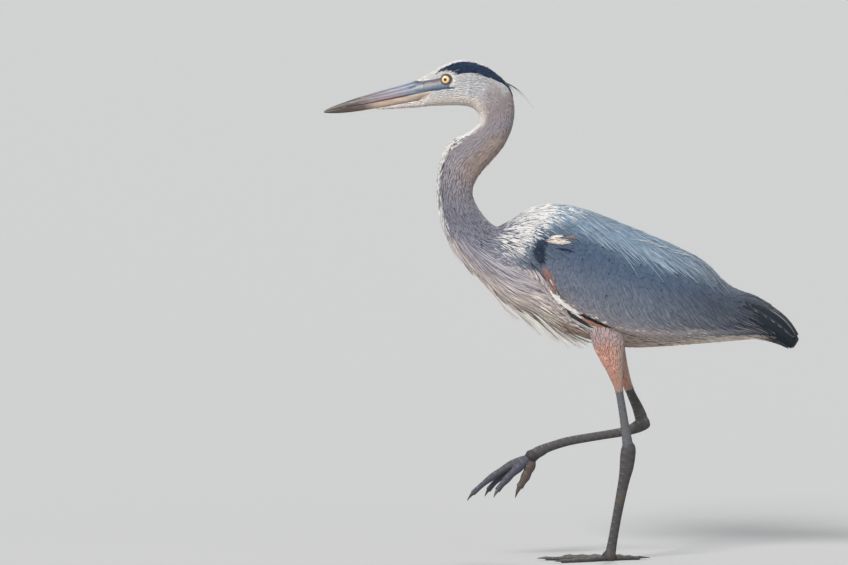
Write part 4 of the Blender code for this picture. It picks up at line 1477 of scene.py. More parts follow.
def headHeading(station, angle):
    # Backwards, parting a little round the eye and drooping behind the cheek.
    spot = coatPoint(station, angle)
    x, z = spot[..., 0] - head["eye"][0], spot[..., 2] - head["eye"][2]
    near = np.exp(-((x + 6) ** 2 + z**2) / 120.0)
    droop = 0.16 * ease(station, 2.5, 4) * np.sin(fromBack(angle) / 28)
    return sideSign(angle) * (-0.7 * near * np.tanh(z / 4) + droop)


def browLot():
    # A wedge of feathers on the ridge of the bill's base, which hides the seam with the forehead.
    def edges(distance):
        reach = 0.08 + 0.40 * ease(distance, 137, 143.5)
        return -reach, reach

    root = scatter(bill["length"] - 5.5, bill["length"] + 2.0, edges, level(0.8), surface=upperSurface)
    count = len(root[0])
    length = chance.uniform(3.0, 5.0, count)
    rise = 0.12 + 0.2 * chance.random(count)
    look = dict(faceDown, sink=0.25, rise=rise, sway=shaken(0.1, count))
    points = layFeathers(root, straight, length, 0.8, look, surface=upperSurface)
    colour = tone["white"] * 0.95
    place = unwrapPlace(root[0] - bill["length"], root[1], -6, 2)
    return featherLot(points, colour * 0.92, colour, 0.15, place, length, 0.06)


def chinLot():
    # Short feathers of the chin, which hang in a small fringe under the lower mandible.
    edges = beneath(level(np.degrees(np.pi - 1.62)))
    root = scatter(bill["chinStart"] + 2, bill["length"] + 1, edges, level(1.4), surface=chinPoint)
    count = len(root[0])
    length = varied(track(root[0], (72, 4.5), (100, 6), (143, 5)), 0.7, 1.3)
    low = ease(-np.cos(root[1]), 0.6, 1.0)
    rise = 0.15 + low * chance.uniform(0.1, 1.2, count) * (1 - 0.7 * ease(root[0], 120, 143))
    look = dict(faceDown, sink=0.5, rise=rise, sway=shaken(0.12, count))
    points = layFeathers(root, straight, length, 1.3, look, surface=chinPoint)
    colour = toned(tone["facePale"], tone["throat"], ease(-np.cos(root[1]), -0.1, 0.5))
    colour = toned(colour, (0.36, 0.29, 0.24), 0.35 * low)
    place = unwrapPlace(root[0], root[1] - np.pi, bill["chinStart"], bill["length"] + 2)
    return featherLot(points, colour * 0.9, colour, 0.15, place, length, 0.1)


def crownPlumage():
    # The dark stripe over each eye and the white crown between the stripes.
    finish = featherFinish("crownSilk", 1.0, 0.25, (0.30, 0.36, 0.44), 0.68, sheen=0.05)
    sides = [
        scatter(1.1, 6.2, between(level(0), level(72), side), level(1.75))
        for side in (1, -1)
    ]
    root = tuple(np.concatenate(pair) for pair in zip(*sides))
    degrees = fromBack(root[1])
    ragged = root[0] + shaken(0.1, len(degrees))
    dark = crownShare(ragged, degrees + shaken(1.5, len(degrees)))
    top = (degrees < track(root[0], *crownStripe["upper"])) & (root[0] > 2.0)
    mask = (dark > 0.45) | top
    root, dark = keep(root, mask), dark[mask]
    count = len(root[0])
    length = varied(track(root[0], (1.1, 4), (2.2, 8), (4, 11), (5.4, 13), (6.2, 11)), 0.75, 1.2)
    look = dict(crownDown, sink=coatDepth(root[0]) * 0.7, sway=shaken(0.10, count))
    look["rise"] = 0.6 + 0.8 * chance.random(count)
    heading = swept(lambda station, degrees: -0.12 * ease(station, 3.5, 5.5))
    points = layFeathers(root, heading, length, 1.75, look)
    colour = toned(tone["white"] * 0.92, tone["navy"], ease(dark, 0.4, 0.5))
    tip = toned(tone["white"], tone["navy"] * 1.8, ease(dark, 0.4, 0.5))
    rim = np.where(dark > 0.45, 0.10, 0.0)
    lot = featherLot(points, colour, tip, rim, unwrapPlace(*root, 1.0, 6.3), length, 0.14)
    return featherPiece("crownPlumage", [lot], finish)


crest = {
    "wisps": [(1.0, 0.0), (0.72, 2.2), (0.55, -2.6), (0.40, 3.4), (0.30, -1.0)],  # length, droop
    "thinner": 0.6,  # thickness of the wisps beside the long plume
    "rings": 30,
    "around": 8,
    "tip": (0.42, 0.40, 0.36),
}


def crestPlumes(side, word):
    # One long thin plume and a few short wisps beside it, as flattened tapering tubes.
    finish = featherFinish(f"crestSilk{word.capitalize()}", 1.0, 0.2, (0.5, 0.5, 0.5), roughness=0.6)
    share = np.linspace(0, 1, crest["rings"])[:, None]
    angle = fullTurn(crest["around"])
    colour = toned(tone["navy"] * 1.4, crest["tip"], ease(share, 0.55, 0.85))
    tubes = []
    for k, (part, droop) in enumerate(crest["wisps"]):
        path = np.array([
            (-97.0, side * (2.2 + k * 0.7), 698.0, 1.0, 1.6),
            (-92.0, side * (4.0 + k * 0.5), 699.0 - 0.3 * k, 0.9, 1.5),
            (-92.0 + 28 * part, side * (4.6 + k * 0.5), 699 - 14.5 * part + droop * 0.3, 0.55, 1.0),
            (-92.0 + 50 * part, side * (5.4 + k * 0.4), 699 - 40 * part + droop, 0.12, 0.2),
        ])
        path[:, 3:] *= crest["thinner"] if k else 1.0
        rings = tubePoint(path, np.linspace(0, 3, crest["rings"])[:, None], angle, up=(0, 0, 1))
        tubes.append(tubeMesh(rings, colour))
    size = len(tubes[0][0])
    points = np.concatenate([tube[0] for tube in tubes])
    faces = np.concatenate([tube[1] + k * size for k, tube in enumerate(tubes)])
    rgba = np.hstack([np.concatenate([tube[2] for tube in tubes]), np.zeros((len(points), 1))])
    obj = finishMesh(f"crestPlumes{word.capitalize()}", points, faces, finish, rgba)
    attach(obj, "root")
    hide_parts(f"crest_plume_{word}")


neckDown = dict(rows=5, sink=1.6, rise=0.5, belly=0.45, blunt=0.58, thick=0.20, tilt=0.03)


def neckPlumage(name, low, high, finish):
    # Longer and wider feathers down the neck, rumpled in its bend and ragged on its back,
    # which turn into the strands of the breast near its root.
    spacing = tracked((6, 2.05), (12, 2.2), (17, 2.5), (20, 3.0))
    root = scatter(low, high, allRound, spacing)
    count = len(root[0])
    degrees = fromBack(root[1])
    length = varied(track(root[0], (6, 11), (10, 14), (15, 19), (18, 26), (20, 30)), 0.7, 1.3)
    width = varied(track(root[0], (6, 1.9), (12, 2.15), (20, 2.7)), 0.85, 1.15)
    rumple = bell(root[0], 10.5, 0.75) * ease(degrees, 122, 146)
    ragged = bell(root[0], 11.4, 0.9) + 0.6 * bell(root[0], 6.5, 0.5)
    ragged = ragged * fall(degrees, 14, 34)
    sway = shaken(0.08 + 0.25 * rumple, count)
    look = dict(neckDown, sink=coatDepth(root[0]) * 0.5, sway=sway)
    look["rise"] = 0.2 + 0.35 * chance.random(count)
    look["rise"] *= 1 + (2.2 * rumple + 4 * ragged) * chance.random(count) ** 2
    points = layFeathers(root, straight, length, width, look)
    at = sampled(root, length, 0.8)
    base = neckTone(at[0], at[1] + shaken(0.09, count))
    kind = chance.random(count)
    chest = ease(at[0], 16.4, 18.6) * ease(degrees, 84, 118)
    base = toned(base, breastTone(root, kind, 0.15), chest)
    mess = (rumple > 0.4) & (kind < 0.18)
    base[mess] = tone["streak"] * 1.6
    pale = (rumple > 0.3) & ~mess & (kind < 0.7)
    base[pale] = tone["white"] * 0.9
    place = unwrapPlace(*root, low, high)
    lot = featherLot(points, base * 0.95, base * 1.06, 0.14, place, length, 0.045)
    return featherPiece(name, [lot], finish)


def mantleTurn(station, degrees):
    # Mantle feathers sweep down and back from the middle of the back.
    return ease(degrees, 2, 40) * track(station, (18, 0.15), (20, 0.35), (23, 0.5))


def mantlePlumage():
    # Long hair-like feathers over the front of the back, white over blue grey; the white is partly their
    # own pale grey and partly painted sunlight.
    finish = featherFinish("mantleSilk", 1.0, 0.30, (0.74, 0.73, 0.70))
    low = tracked((18.2, 60), (19.4, 92), (20.6, 96), (21.4, 74), (22.4, 48), (23.4, 26))
    lots = []
    for side in (-1, 1):
        root = scatter(18.2, 23.2, between(level(0), low, side), level(2.9))
        count = len(root[0])
        length = varied(track(root[0], (18, 20), (20, 34), (23, 46)), 0.7, 1.25)
        look = dict(
            rows=8, sink=2.5, rise=0.3 + 0.7 * chance.random(count), belly=0.45,
            blunt=0.55, thick=0.35, tilt=0.07, sway=shaken(0.10, count),
        )
        points = layFeathers(root, swept(mantleTurn), length, 2.7, look)
        at = sampled(root, length, 1.5)
        pale = mantlePaleAndSunlit(at[0], fromBack(at[1])) * chance.uniform(0.85, 1.25, count)
        pale = np.clip(pale, 0, 1)
        under = toned(neckTone(*at), trunkTone(*at), ease(at[0], 18.8, 20.2))
        # the blue grey is mixed towards white: partly the plumes' own pale grey and partly painted sunlight
        base = toned(under, tone["white"] * 0.84, 0.88 * pale)
        tip = toned(under * 1.1, tone["white"] * 0.97, 0.94 * pale)
        lots.append(featherLot(points, base, tip, 0.15, unwrapPlace(*root, 18, 24), length, 0.06))
    return featherPiece("mantlePlumage", lots, finish)


def backTurn(station, degrees):
    # Feathers of the back sweep outwards most over its front half.
    down = track(station, (20, 0.20), (22, 0.42), (25, 0.5), (28, 0.3), (30, 0.05))
    return ease(degrees, 0, 45) * down


def backPlumage():
    # Broad soft feathers down the middle of the back, under long thin pale-tipped plumes and
    # a pale streak of fine ones on each side.
    finish = featherFinish("backSilk", 1.0, 0.28, (0.50, 0.56, 0.62), sheen=0.12, shaft=0.12)
    tailEdge = tracked((20, 40), (22, 44), (25, 36), (28, 44), (30.3, 60))
    plumeEdge = tracked((21.4, 34), (23, 47), (25, 44), (26.6, 34))
    heading = swept(backTurn)
    lots = []
    for side in (-1, 1):
        spacing = tracked((21, 4.6), (26, 6.2), (29, 6.5))
        root = scatter(21.4, 28.9, between(level(0), tailEdge, side), spacing)
        count = len(root[0])
        length = varied(track(root[0], (21, 24), (26, 40), (29, 44)), 0.85, 1.15)
        look = dict(
            rows=7, sink=3.0, rise=0.5 + 0.7 * chance.random(count), belly=0.6,
            blunt=0.45, thick=0.45, tilt=0.05, camber=0.12,
        )
        points = layFeathers(root, heading, length, length * 0.26, look, vaneRing)
        base = trunkTone(*sampled(root, length))
        rim = 0.18 * fall(root[0], 26.4, 27.6)
        place = unwrapPlace(*root, 18, 31)
        lots.append(featherLot(points, base * 0.9, base * 1.1, rim, place, length, 0.07))

        root = scatter(21.5, 26.6, between(level(2), plumeEdge, side), level(5.4))
        count = len(root[0])
        length = varied(track(root[0], (21, 50), (24, 78), (26.6, 70)), 0.6, 1.2)
        look = dict(
            rows=12, sink=2.0, rise=1.2 + 1.2 * chance.random(count), belly=0.35,
            blunt=0.7, thick=0.5, tilt=0.1, sway=shaken(0.10, count),
        )
        points = layFeathers(root, heading, length, 1.7, look)
        base = trunkTone(*sampled(root, length))
        tip = toned(base * 1.15, (0.44, 0.50, 0.56), chance.uniform(0.1, 0.75, count))
        lots.append(featherLot(points, base, tip, 0.1, unwrapPlace(*root, 18, 31), length, 0.10, 1.2))

        count = 14
        station = np.linspace(24.3, 25.9, count)
        degrees = track(station, (24.3, 42), (25.15, 38), (26.4, 31))
        degrees = degrees + shaken(1.8, count)
        root = station, side * np.radians(degrees)
        length = chance.uniform(26, 44, count)
        look = dict(look, rise=3.0, sway=0.0)
        points = layFeathers(root, swept(lambda station, degrees: -0.14), length, 1.6, look)
        base, tip = trunkTone(*root) * 1.2, tone["white"] * 0.7
        lots.append(featherLot(points, base, tip, 0.1, unwrapPlace(*root, 18, 31), length, 0.08))
    return featherPiece("backPlumage", lots, finish, sharp=50)


def wingTurn(station, degrees):
    # Swept back along the top of the wing, down its side, and back again along its low edge.
    down = track(
        station, (21.2, 0.5), (22.4, 0.85), (24, 1.0), (25.5, 0.95), (27, 0.75), (28.5, 0.42), (30.5, 0.12)
    )
    return down * ease(degrees, 20, 96) * (1 - 0.62 * ease(degrees, 102, 134))


wingHeading = swept(wingTurn)


def wingPlumage(side, word):
    # Small feathers at the bend of the wing, larger and softer ones behind and below.
    rimTone = (0.52, 0.52, 0.54)
    finish = featherFinish(f"wingSilk{word.capitalize()}", 1.1, 0.25, rimTone, sheen=0.08, shaft=0.08)
    edges = between(lambda s: wingRow(s)[0] - 6, lambda s: wingRow(s)[1] - 3, side)
    spacing = tracked((21.2, 3.0), (22.2, 3.9), (24, 5.0), (26, 6.0), (28.8, 7.4))
    root = scatter(21.22, 28.8, edges, spacing)
    count = len(root[0])
    degrees = fromBack(root[1])
    length = varied(track(root[0], (21.2, 10), (22.2, 15), (24, 24), (26, 33), (28.8, 44)), 0.85, 1.15)
    width = length * track(root[0], (21.2, 0.40), (24, 0.27), (28, 0.20))
    room = (wingRow(root[0])[1] - degrees) / 57.3 * 75 + 6  # down to the wing's low edge
    length = np.minimum(length, np.maximum(room * 1.25, 9))
    look = dict(
        rows=6, sink=track(root[0], (21.2, 1.6), (24, 3.0)), belly=0.58, blunt=0.55,
        rise=0.25 + 0.35 * chance.random(count), thick=0.22, tilt=0.03, camber=0.10,
    )
    points = layFeathers(root, wingHeading, length, width, look, vaneRing)
    base = trunkTone(*sampled(root, length * 0.6, 0.7))
    station = root[0] + shaken(0.02, count)
    base = wristTone(station, root[1] + shaken(0.03, count), base)
    rim = track(degrees, (60, 0.06), (100, 0.16), (130, 0.30)) * ease(root[0], 22.6, 24) + 0.03
    lots = [featherLot(points, base * 0.94, base * 1.05, rim, unwrapPlace(*root, 21, 29), length, 0.06)]
    lots.append(streakLot(side))
    lots += [patchLot(side, *patch) for patch in wristPatches]
    lots += [edgeLot(side, *row) for row in edgeRows]
    return featherPiece(f"wingPlumage{word.capitalize()}", lots, finish, sharp=50)


def streakLot(side):
    # Thin pale strands that follow the lie of the wing, curving back towards its low edge.
    low = tracked((22.2, 110), (23.5, 128), (26, 132), (28.4, 118))
    high = tracked((22.2, 92), (23.5, 82), (26, 66), (28.4, 62))
    root = scatter(22.2, 28.4, between(high, low, side), level(6.6))
    count = len(root[0])
    degrees = fromBack(root[1])
    length = varied(track(root[0], (22, 16), (24, 26), (28, 36)), 0.6, 1.2)
    length = np.minimum(length, 8 + 1.3 * np.maximum(134 - degrees, 0))
    look = dict(
        rows=7, sink=0.8, rise=0.9 + 0.3 * chance.random(count), belly=0.5, blunt=0.7,
        thick=0.35, tilt=0.05, sway=side * -0.15 + shaken(0.08, count),
    )
    points = layFeathers(root, wingHeading, length, chance.uniform(0.7, 1.2, count), look)
    base = trunkTone(*root)
    pale = ease(degrees, 70, 112) * chance.uniform(0.15, 0.6, count) + 0.08
    tip = toned(base * 1.15, (0.44, 0.43, 0.45), pale)
    return featherLot(points, base * 1.05, tip, 0, unwrapPlace(*root, 21, 29), length, 0.08, 0.8)


wristPatches = [  # station and degrees, reach along and across, slant, colour, shade, rise, turn
    (21.56, 79, 0.19, 8, 0, "navy", 0.8, 1.6, None),
    (21.69, 86, 0.13, 4.5, 0, "navy", 0.8, 1.6, None),
    (21.68, 71.5, 0.25, 2.6, -1.2, "navy", 1, 1.5, None),
    # a painted shadow under the cream tuft, laid as dark navy feathers
    (22.45, 75.2, 0.26, 1.1, -0.9, "navy", 1, 1.2, -0.2),
    (21.92, 72, 0.15, 2.2, -0.6, "rufous", 1.5, 1.9, -0.2),
    (22.18, 70.2, 0.42, 2.5, -0.9, "plumeCream", 1.3, 2.6, -0.2),
    (22.10, 67.5, 0.20, 2, -1, "plumeCream", 1.35, 3.2, -0.3),
    (22.60, 63.5, 0.13, 0.9, -0.5, "rufous", 1.3, 2.6, -0.2),
    (22.03, 98, 0.17, 4.5, 0.6, "rufous", 1.1, 1.4, None),
    (22.28, 107, 0.12, 6, 0.6, "cinnamon", 0.6, 1.4, None),
    (22.20, 103.5, 0.05, 1.6, 0, "white", 1, 2, None),
]


def patchLot(side, station, degrees, reach, spread, slant, colour, shade, rise, turn):
    # Small soft feathers rooted in a slanting ellipse, raised over the ones below; they lie
    # as the wing's feathers do, or at a turn of their own.
    edges = between(level(degrees - 2.2 * spread), level(degrees + 2.2 * spread), side)
    root = scatter(station - reach, station + reach, edges, level(1.4))
    along, across = (root[0] - station) / reach, (fromBack(root[1]) - degrees) / spread
    apart = along**2 + (across - slant * along) ** 2
    near = apart < chance.uniform(0.5, 1.3, len(along))
    root, apart = keep(root, near), apart[near]
    count = len(root[0])
    length = chance.uniform(6, 13, count)
    look = dict(
        rows=5, sink=0.3, rise=rise * chance.uniform(0.7, 1.25, count), belly=0.5,
        blunt=0.55, thick=0.45, tilt=0.2, climb=0.7, sway=shaken(0.2, count),
    )
    heading = wingHeading if turn is None else swept(lambda station, degrees: turn)
    points = layFeathers(root, heading, length, 1.0, look)
    fade = ease(apart, 0.25, 1.15) * (0.35 if colour == "navy" else 0.7)
    base = toned(tone[colour] * shade, trunkTone(*root), fade)
    return featherLot(points, base * 0.85, base * 1.1, 0.05, unwrapPlace(*root, 21, 29), length, 0.12)


wingEdge = [  # station and degrees of the marks along the wing's front edge
    (22.2, 116), (22.4, 119), (22.88, 125), (23.35, 131.5), (24.0, 133.5), (24.45, 135), (25, 137),
]
edgeRows = [  # first and last station, degrees past the edge, how many, length, width, colour
    (22.28, 23.05, -0.6, 36, 19, 2.4, (0.76, 0.72, 0.69)),
    (23.15, 24.10, 0.2, 20, 20, 1.9, (0.46, 0.21, 0.14)),
    (23.30, 24.00, -3.4, 12, 24, 3.4, (0.012, 0.013, 0.018)),
    (22.85, 23.35, 5, 8, 22, 3, (0.030, 0.028, 0.034)),
    (23.15, 23.50, 9, 6, 18, 2.2, (0.60, 0.60, 0.62)),
]


def edgeTurn(station, degrees):
    # Feathers of the wing's front edge, which follow it ever more closely.
    return track(station, (22, 0.55), (22.9, 0.38), (23.35, 0.22), (24.4, 0.08))


def edgeLot(side, first, last, shift, count, reach, width, colour):
    # One row of the wing's front edge: a white band, then a thin rufous line and dark streaks.
    station = np.linspace(first, last, count)
    degrees = track(station, *wingEdge) + shift + shaken(0.9, count)
    root = station, side * np.radians(degrees)
    length = reach * chance.uniform(0.8, 1.15, count)
    look = dict(
        rows=8, sink=0.3, rise=1.9, belly=0.5,
        blunt=0.6, thick=0.4, tilt=0.1, climb=0.5,
    )
    points = layFeathers(root, swept(edgeTurn), length, width, look)
    base = np.array(colour)
    return featherLot(points, base * 0.9, base, 0.05, unwrapPlace(*root, 21, 29), length, 0.08)


def flightPlumage(side, word):
    # Long flight feathers: the low rear row with pale edges, and the dark ones at the tip.
    rimTone = (0.40, 0.42, 0.45)
    finish = featherFinish(f"flightVane{word.capitalize()}", 1.2, 0.22, rimTone, 0.7, sheen=0.02, shaft=0.4)
    share = np.linspace(0, 1, 22)
    root = (24.0 + 4.4 * share, side * np.radians(112 - 20 * share + 3 * np.sin(9 * share)))
    length = 52 + 34 * np.sin(np.pi * np.clip(share * 0.8 + 0.15, 0, 1))
    look = dict(
        rows=12, sink=2.5, rise=1.1, belly=0.62, blunt=0.36,
        thick=0.7, tilt=0.03, camber=0.08, sway=side * -0.18,
    )
    points = layFeathers(root, wingHeading, length, 12.0, look, vaneRing)
    base = toned(trunkTone(root[0] + 0.8, root[1] + side * 0.4), tone["wingLow"], 0.4 * (1 - share))
    lots = [featherLot(points, base * 0.9, base, 0.45, unwrapPlace(*root, 21, 31), length, 0.05)]

    share = np.linspace(0, 1, 13)
    root = (26.95 + 1.55 * share, side * np.radians(50 + 62 * share))
    length = (30.75 - root[0]) * (44 - 8 * share)  # as far as the end of the wing
    look = dict(look, rise=1.3 + 1.2 * (1 - share), sway=0.0, thick=0.9)
    heading = swept(lambda station, degrees: 0.10 * ease(degrees, 20, 60))
    points = layFeathers(root, heading, length, 17.0, look, vaneRing)
    base = toned(tone["slate"] * 1.35, tone["slate"], share)
    rim = np.where(share < 0.06, 0.7, 0.08)
    lots.append(featherLot(points, base * 1.2, base, rim, unwrapPlace(*root, 21, 31), length, 0.06))
    return featherPiece(f"flightPlumage{word.capitalize()}", lots, finish, sharp=50)


def tailPlumage():
    # Long feathers above and below, fanned round the tail, which all end at its tip.
    finish = featherFinish("tailVane", 1.2, 0.22, (0.35, 0.38, 0.42), 0.7, sheen=0.02, shaft=0.4)
    share = np.linspace(-1, 1, 14)
    look = dict(rows=12, sink=2.0, rise=0.5, belly=0.62, blunt=0.33, thick=0.8, tilt=0.03)
    lots = []
    for middle, spread, shade in ((0.0, 1.35, 1.0), (np.pi, 1.3, 1.6)):
        root = (27.9 + 0.1 * np.cos(share * 9), middle + spread * share)
        length = (30.93 - root[0]) / 3.03 * (98 + 17 * (1 + np.cos(root[1])))
        points = layFeathers(root, straight, length, 14.0, look, vaneRing)
        base = tone["slate"] * shade
        place = unwrapPlace(root[0], share * 3, 27, 31)
        lots.append(featherLot(points, base * 1.2, base, 0.1, place, length, 0.08))
    return featherPiece("tailPlumage", lots, finish, sharp=50)


def bellyPlumage():
    # Loose soft feathers under the body, which turn into the breast's strands in front.
    finish = featherFinish("bellyDown", 1.0, 0.3, (0.66, 0.60, 0.55))
    edges = beneath(tracked((21.8, 118), (24, 126), (28, 128), (30.4, 100)))
    root = scatter(21.9, 29.6, edges, tracked((22, 4.4), (26, 4.9), (29.6, 4.4)))
    count = len(root[0])
    length = varied(track(root[0], (22, 20), (25, 24), (28, 32), (29.4, 30), (30.2, 16)), 0.8, 1.2)
    look = dict(
        rows=6, sink=3.0, rise=0.4 + 0.9 * chance.random(count), belly=0.55,
        blunt=0.5, thick=0.5, tilt=0.14, sway=shaken(0.12, count),
    )
    points = layFeathers(root, straight, length, 4.4, look)
    base = bellyTone(*sampled(root, length))
    front = (root[0] < 24.0) & (fromBack(root[1]) < 150)
    base[front] = breastTone(root, chance.random(count), 0.35)[front]
    place = unwrapPlace(root[0], root[1] - np.pi, 21, 31)
    lot = featherLot(points, base * 0.85, base * 1.1, 0.25, place, length, 0.10)
    return featherPiece("bellyPlumage", [lot], finish)


breastEdge = [  # station, and degrees at which the wing's front edge begins
    (19, 70), (20.4, 90), (21.2, 101), (21.9, 110), (22.4, 123), (22.9, 129), (23.35, 135), (24, 138),
]


def breastTurn(station, degrees):
    # Along the body, turned downwards wherever a strand would run over the wing's front edge.
    near = fall(degrees - track(station, *breastEdge), 0, 9)
    return 0.06 * fall(degrees, 150, 178) + 0.7 * near


def breastPlumage():
    # The sides of the breast, then long narrow plumes down its front; the lowest lift clear
    # of the breast and hang in wisps.
    finish = featherFinish("breastSilk", 1.0, 0.3, (0.74, 0.70, 0.66), shaft=0.1)
    heading = swept(breastTurn)
    low = tracked((19, 70), (20.5, 86), (21.6, 99), (22.6, 116))
    lots = []
    for side in (-1, 1):
        root = scatter(19.0, 22.6, between(low, lambda s: low(s) + 38, side), level(2.9))
        count = len(root[0])
        length = 24 * chance.uniform(0.8, 1.25, count)
        look = dict(neckDown, sink=1.8, rise=0.4 + 0.4 * chance.random(count))
        look["sway"] = shaken(0.1, count)
        points = layFeathers(root, heading, length, 2.9, look)
        kind = chance.random(count)
        base, tip = breastTone(root, kind, 0.1), breastTone(root, kind, 0.5)
        lots.append(featherLot(points, base, tip, 0.3, unwrapPlace(*root, 17, 25), length, 0.08))

    root = scatter(17.2, 21.3, beneath(tracked((17, 112), (19, 98), (21.3, 112))), level(4.0))
    count = len(root[0])
    length = varied(track(root[0], (17.2, 60), (19, 95), (21.3, 78)), 0.65, 1.15)
    under = ease(fromBack(root[1]), 120, 165)
    look = dict(
        rows=13, sink=2.4, rise=2.4 + 4.5 * under * chance.random(count) ** 1.5, belly=0.30,
        blunt=0.75, thick=0.9, tilt=0.1, climb=1.6, sway=shaken(0.07, count),
    )
    points = layFeathers(root, heading, length, 3.0, look)
    lots.append(plumeLot(points, root, length, under))

    root, length, rise = wispRoots()
    look = dict(
        rows=14, sink=1.0, rise=rise, belly=0.30,
        blunt=0.6, thick=0.9, tilt=0.15, climb=1.5,
    )
    points = layFeathers(root, straight, length, 2.0, look)
    lots.append(plumeLot(points, root, length, 1.0))
    return featherPiece("breastPlumes", lots, finish, ["breast_plumes"])


def breastTone(root, kind, share):
    # Strands of the breast by chance: most run from lavender grey to a pinkish cream, some
    # to nearly white, and a few stay dark between them; the sides keep their lavender.
    side = fall(fromBack(root[1]), 112, 148) * (1 - ease(root[0], 20.6, 22.6) * 0.4)
    kind, share = kind[:, None], share * (1 - 0.5 * side) + 0.45 * ease(root[0], 19.4, 21.4)
    grey = toned(tone["mauve"] * 0.95, tone["mauveDark"] * 1.25, side)
    soft = toned(grey, tone["plumePink"] * 1.05, share)
    light = toned(grey * 1.2, tone["plumeCream"] * 1.3, share)
    dark = toned(tone["streak"] * 2.4, grey * 0.9, share)
    return np.where(kind < 0.42, soft, np.where(kind < 0.94, light, dark))


def plumeLot(points, root, length, under):
    # Strands side by side, paler towards their tips and towards the lower edge.
    kind = chance.random(len(root[0]))
    low = ease(root[0], 17.5, 20.0) * 0.5 + 0.4 * under
    place = unwrapPlace(root[0], np.mod(root[1], 2 * np.pi) - np.pi, 17, 25)
    base, tip = breastTone(root, kind, low), breastTone(root, kind, 0.6 + 0.5 * low)
    return featherLot(points, base, tip, 0.25, place, length, 0.10, 0.9)


wisps = {
    "count": 15,
    "strands": 9,
    "tips": [  # station of a wisp's tip, and how far it lifts
        (20.5, 5), (21.6, 22), (21.9, 12), (22.2, 25), (22.45, 14), (22.7, 26),
        (22.9, 15), (23.1, 24), (23.3, 12), (23.45, 19), (23.65, 12), (23.8, 4),
    ],
    "reach": 1.45,
    "spread": 24,
}


def wispRoots():
    # Each wisp is a bunch of strands that share a tip and fray a little on the way.
    bunch = np.repeat(np.arange(wisps["count"]), wisps["strands"])
    share = bunch / (wisps["count"] - 1)
    end, lift = np.moveaxis(readRows(wisps["tips"], share * (len(wisps["tips"]) - 1)), -1, 0)
    fray = chance.standard_normal((3, len(bunch)))
    swing = np.radians(wisps["spread"]) * np.sin(2.2 * bunch + 0.4) * (1 - 0.5 * share)
    angle = np.pi + swing + 0.05 * fray[0]
    start = end - (wisps["reach"] + 0.25 * np.abs(fray[1])) - 0.1
    run = coatPoint(end - 0.16 * np.abs(fray[2]), angle) - coatPoint(start, angle)
    length = np.linalg.norm(run, axis=-1) * 1.05
    return (start, angle), length, (lift + 2.0) * (1 - 0.12 * np.abs(fray[1]))


def thighPlumage(word):
    # Short soft feathers down the thigh, which end in a ragged cuff above the bare leg.
    finish = featherFinish(f"thighDown{word.capitalize()}", 1.0, 0.3, (0.62, 0.46, 0.38))
    rows = np.array(legs[word + "Upper"])

    def surface(at, angle, grow=0.0):
        # The outside of the thigh, at a row of its table and an angle from its front.
        return tubePoint(rows, at, angle, grow)

    root = scatter(0.05, 5.0, allRound, tracked((0, 3.2), (2, 2.8), (5, 1.7)), surface=surface)
    count = len(root[0])
    length = varied(track(root[0], (0, 16), (2, 13), (4, 9), (5, 5.5)), 0.7, 1.3)
    width = track(root[0], (0, 4.2), (3, 3.1), (5, 1.9))
    look = dict(neckDown, sink=track(root[0], (0, 1.0), (3, 0.7), (5, 0.3)))
    look["rise"] = 0.10 + 0.15 * chance.random(count)
    look["sway"] = shaken(0.14, count)
    points = layFeathers(root, straight, length, width, look, surface=surface)
    behind = ease(np.cos(root[1]), 0.0, 0.8) * fall(root[0], 3.0, 4.5)
    base = painted(
        tone["cinnamon"],
        (tone["cinnamon"] * 0.78, ease(root[0], 1, 4.5)),
        ((0.40, 0.33, 0.28), 0.7 * behind),
        ((0.30, 0.24, 0.20), ease(root[0], 3.8, 5.0) * 0.8),
        # the top rows turn a darker mauve grey: partly the body's own colour and partly a painted shadow
        # under the body
        ((0.33, 0.28, 0.30), 0.75 * fall(root[0], 0.35, 1.25)),
    )
    lot = featherLot(points, base * 0.94, base * 1.06, 0.12, unwrapPlace(*root, 0, 5.2), length, 0.06)
    return featherPiece(f"thighPlumage{word.capitalize()}", [lot], finish)


headDown = featherFinish("headDown", 0.9, 0.22, (0.80, 0.79, 0.78))
headPlumage("facePlumage", 0.02, 3.25, [browLot(), chinLot()])
headPlumage("napePlumage", 3.1, 6.5)
crownPlumage()
for side, word in ((-1, "left"), (1, "right")):
    crestPlumes(side, word)
neckSilk = featherFinish("neckSilk", 1.0, 0.20, (0.62, 0.60, 0.62))
neckPlumage("upperNeckPlumage", 5.9, 12.6, neckSilk)
neckPlumage("lowerNeckPlumage", 12.4, 19.8, neckSilk)
breastPlumage()
bellyPlumage()
tailPlumage()
for side, word in ((-1, "left"), (1, "right")):
    thighPlumage(word)
    flightPlumage(side, word)
    wingPlumage(side, word)
backPlumage()
mantlePlumage()
print("plumage laid")


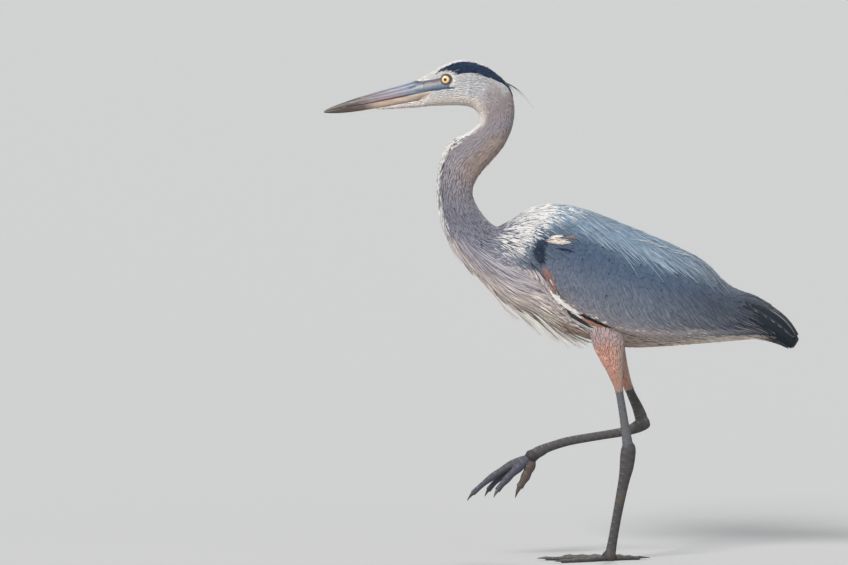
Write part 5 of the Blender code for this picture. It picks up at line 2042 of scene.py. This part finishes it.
studio = {
    "elevation": 4.0,  # camera over the horizon
    "away": 13.67,
    "lens": 400.0,
    "middle": (-0.200, 0.0, 0.4045),
    "floor": (0.40, 0.397, 0.385),
    "sky": (0.80, 0.84, 0.90),
    "skyStrength": 0.58,
    "lights": (  # name, direction it comes from, strength, softness in degrees
        ("keyLight", (-0.62, -1.0, 0.95), 3.3, 18),
        ("fillLight", (0.9, -1.0, 0.35), 0.6, 60),
        ("backLight", (0.3, 1.0, 1.2), 1.3, 20),
    ),
}


def makeStage():
    # A plain pale floor, three soft lights and a level, distant camera.
    floorMesh = bpy.data.meshes.new("floor")
    reach = 60.0
    corners = [(-reach, -reach, 0), (reach, -reach, 0), (reach, reach, 0), (-reach, reach, 0)]
    floorMesh.from_pydata(corners, [], [(0, 1, 2, 3)])
    paper = Finish("floorPaper", 0.9)
    floorMesh.materials.append(paper.done(Base_Color=(*studio["floor"], 1)))
    floor = bpy.data.objects.new("floor", floorMesh)
    bpy.context.scene.collection.objects.link(floor)
    for name, source, strength, softness in studio["lights"]:
        lamp = bpy.data.lights.new(name, "SUN")
        lamp.energy, lamp.angle = strength, np.radians(softness)
        obj = bpy.data.objects.new(name, lamp)
        obj.rotation_euler = (-Vector(source)).to_track_quat("-Z", "Y").to_euler()
        bpy.context.scene.collection.objects.link(obj)
    world = bpy.data.worlds.new("studioWorld")
    world.use_nodes = True
    sky = world.node_tree.nodes["Background"]
    sky.inputs["Color"].default_value = (*studio["sky"], 1)
    sky.inputs["Strength"].default_value = studio["skyStrength"]
    scene = bpy.context.scene
    scene.world = world
    scene.view_settings.view_transform = "Standard"
    lens = bpy.data.cameras.new("camera")
    lens.lens, lens.sensor_width, lens.clip_end = studio["lens"], 36.0, 200.0
    camera = bpy.data.objects.new("camera", lens)
    lift = np.radians(studio["elevation"])
    middle = Vector(studio["middle"])
    camera.location = middle + studio["away"] * Vector((0, -np.cos(lift), np.sin(lift)))
    camera.rotation_euler = (np.pi / 2 - lift, 0, 0)
    scene.collection.objects.link(camera)
    scene.camera = camera


makeStage()
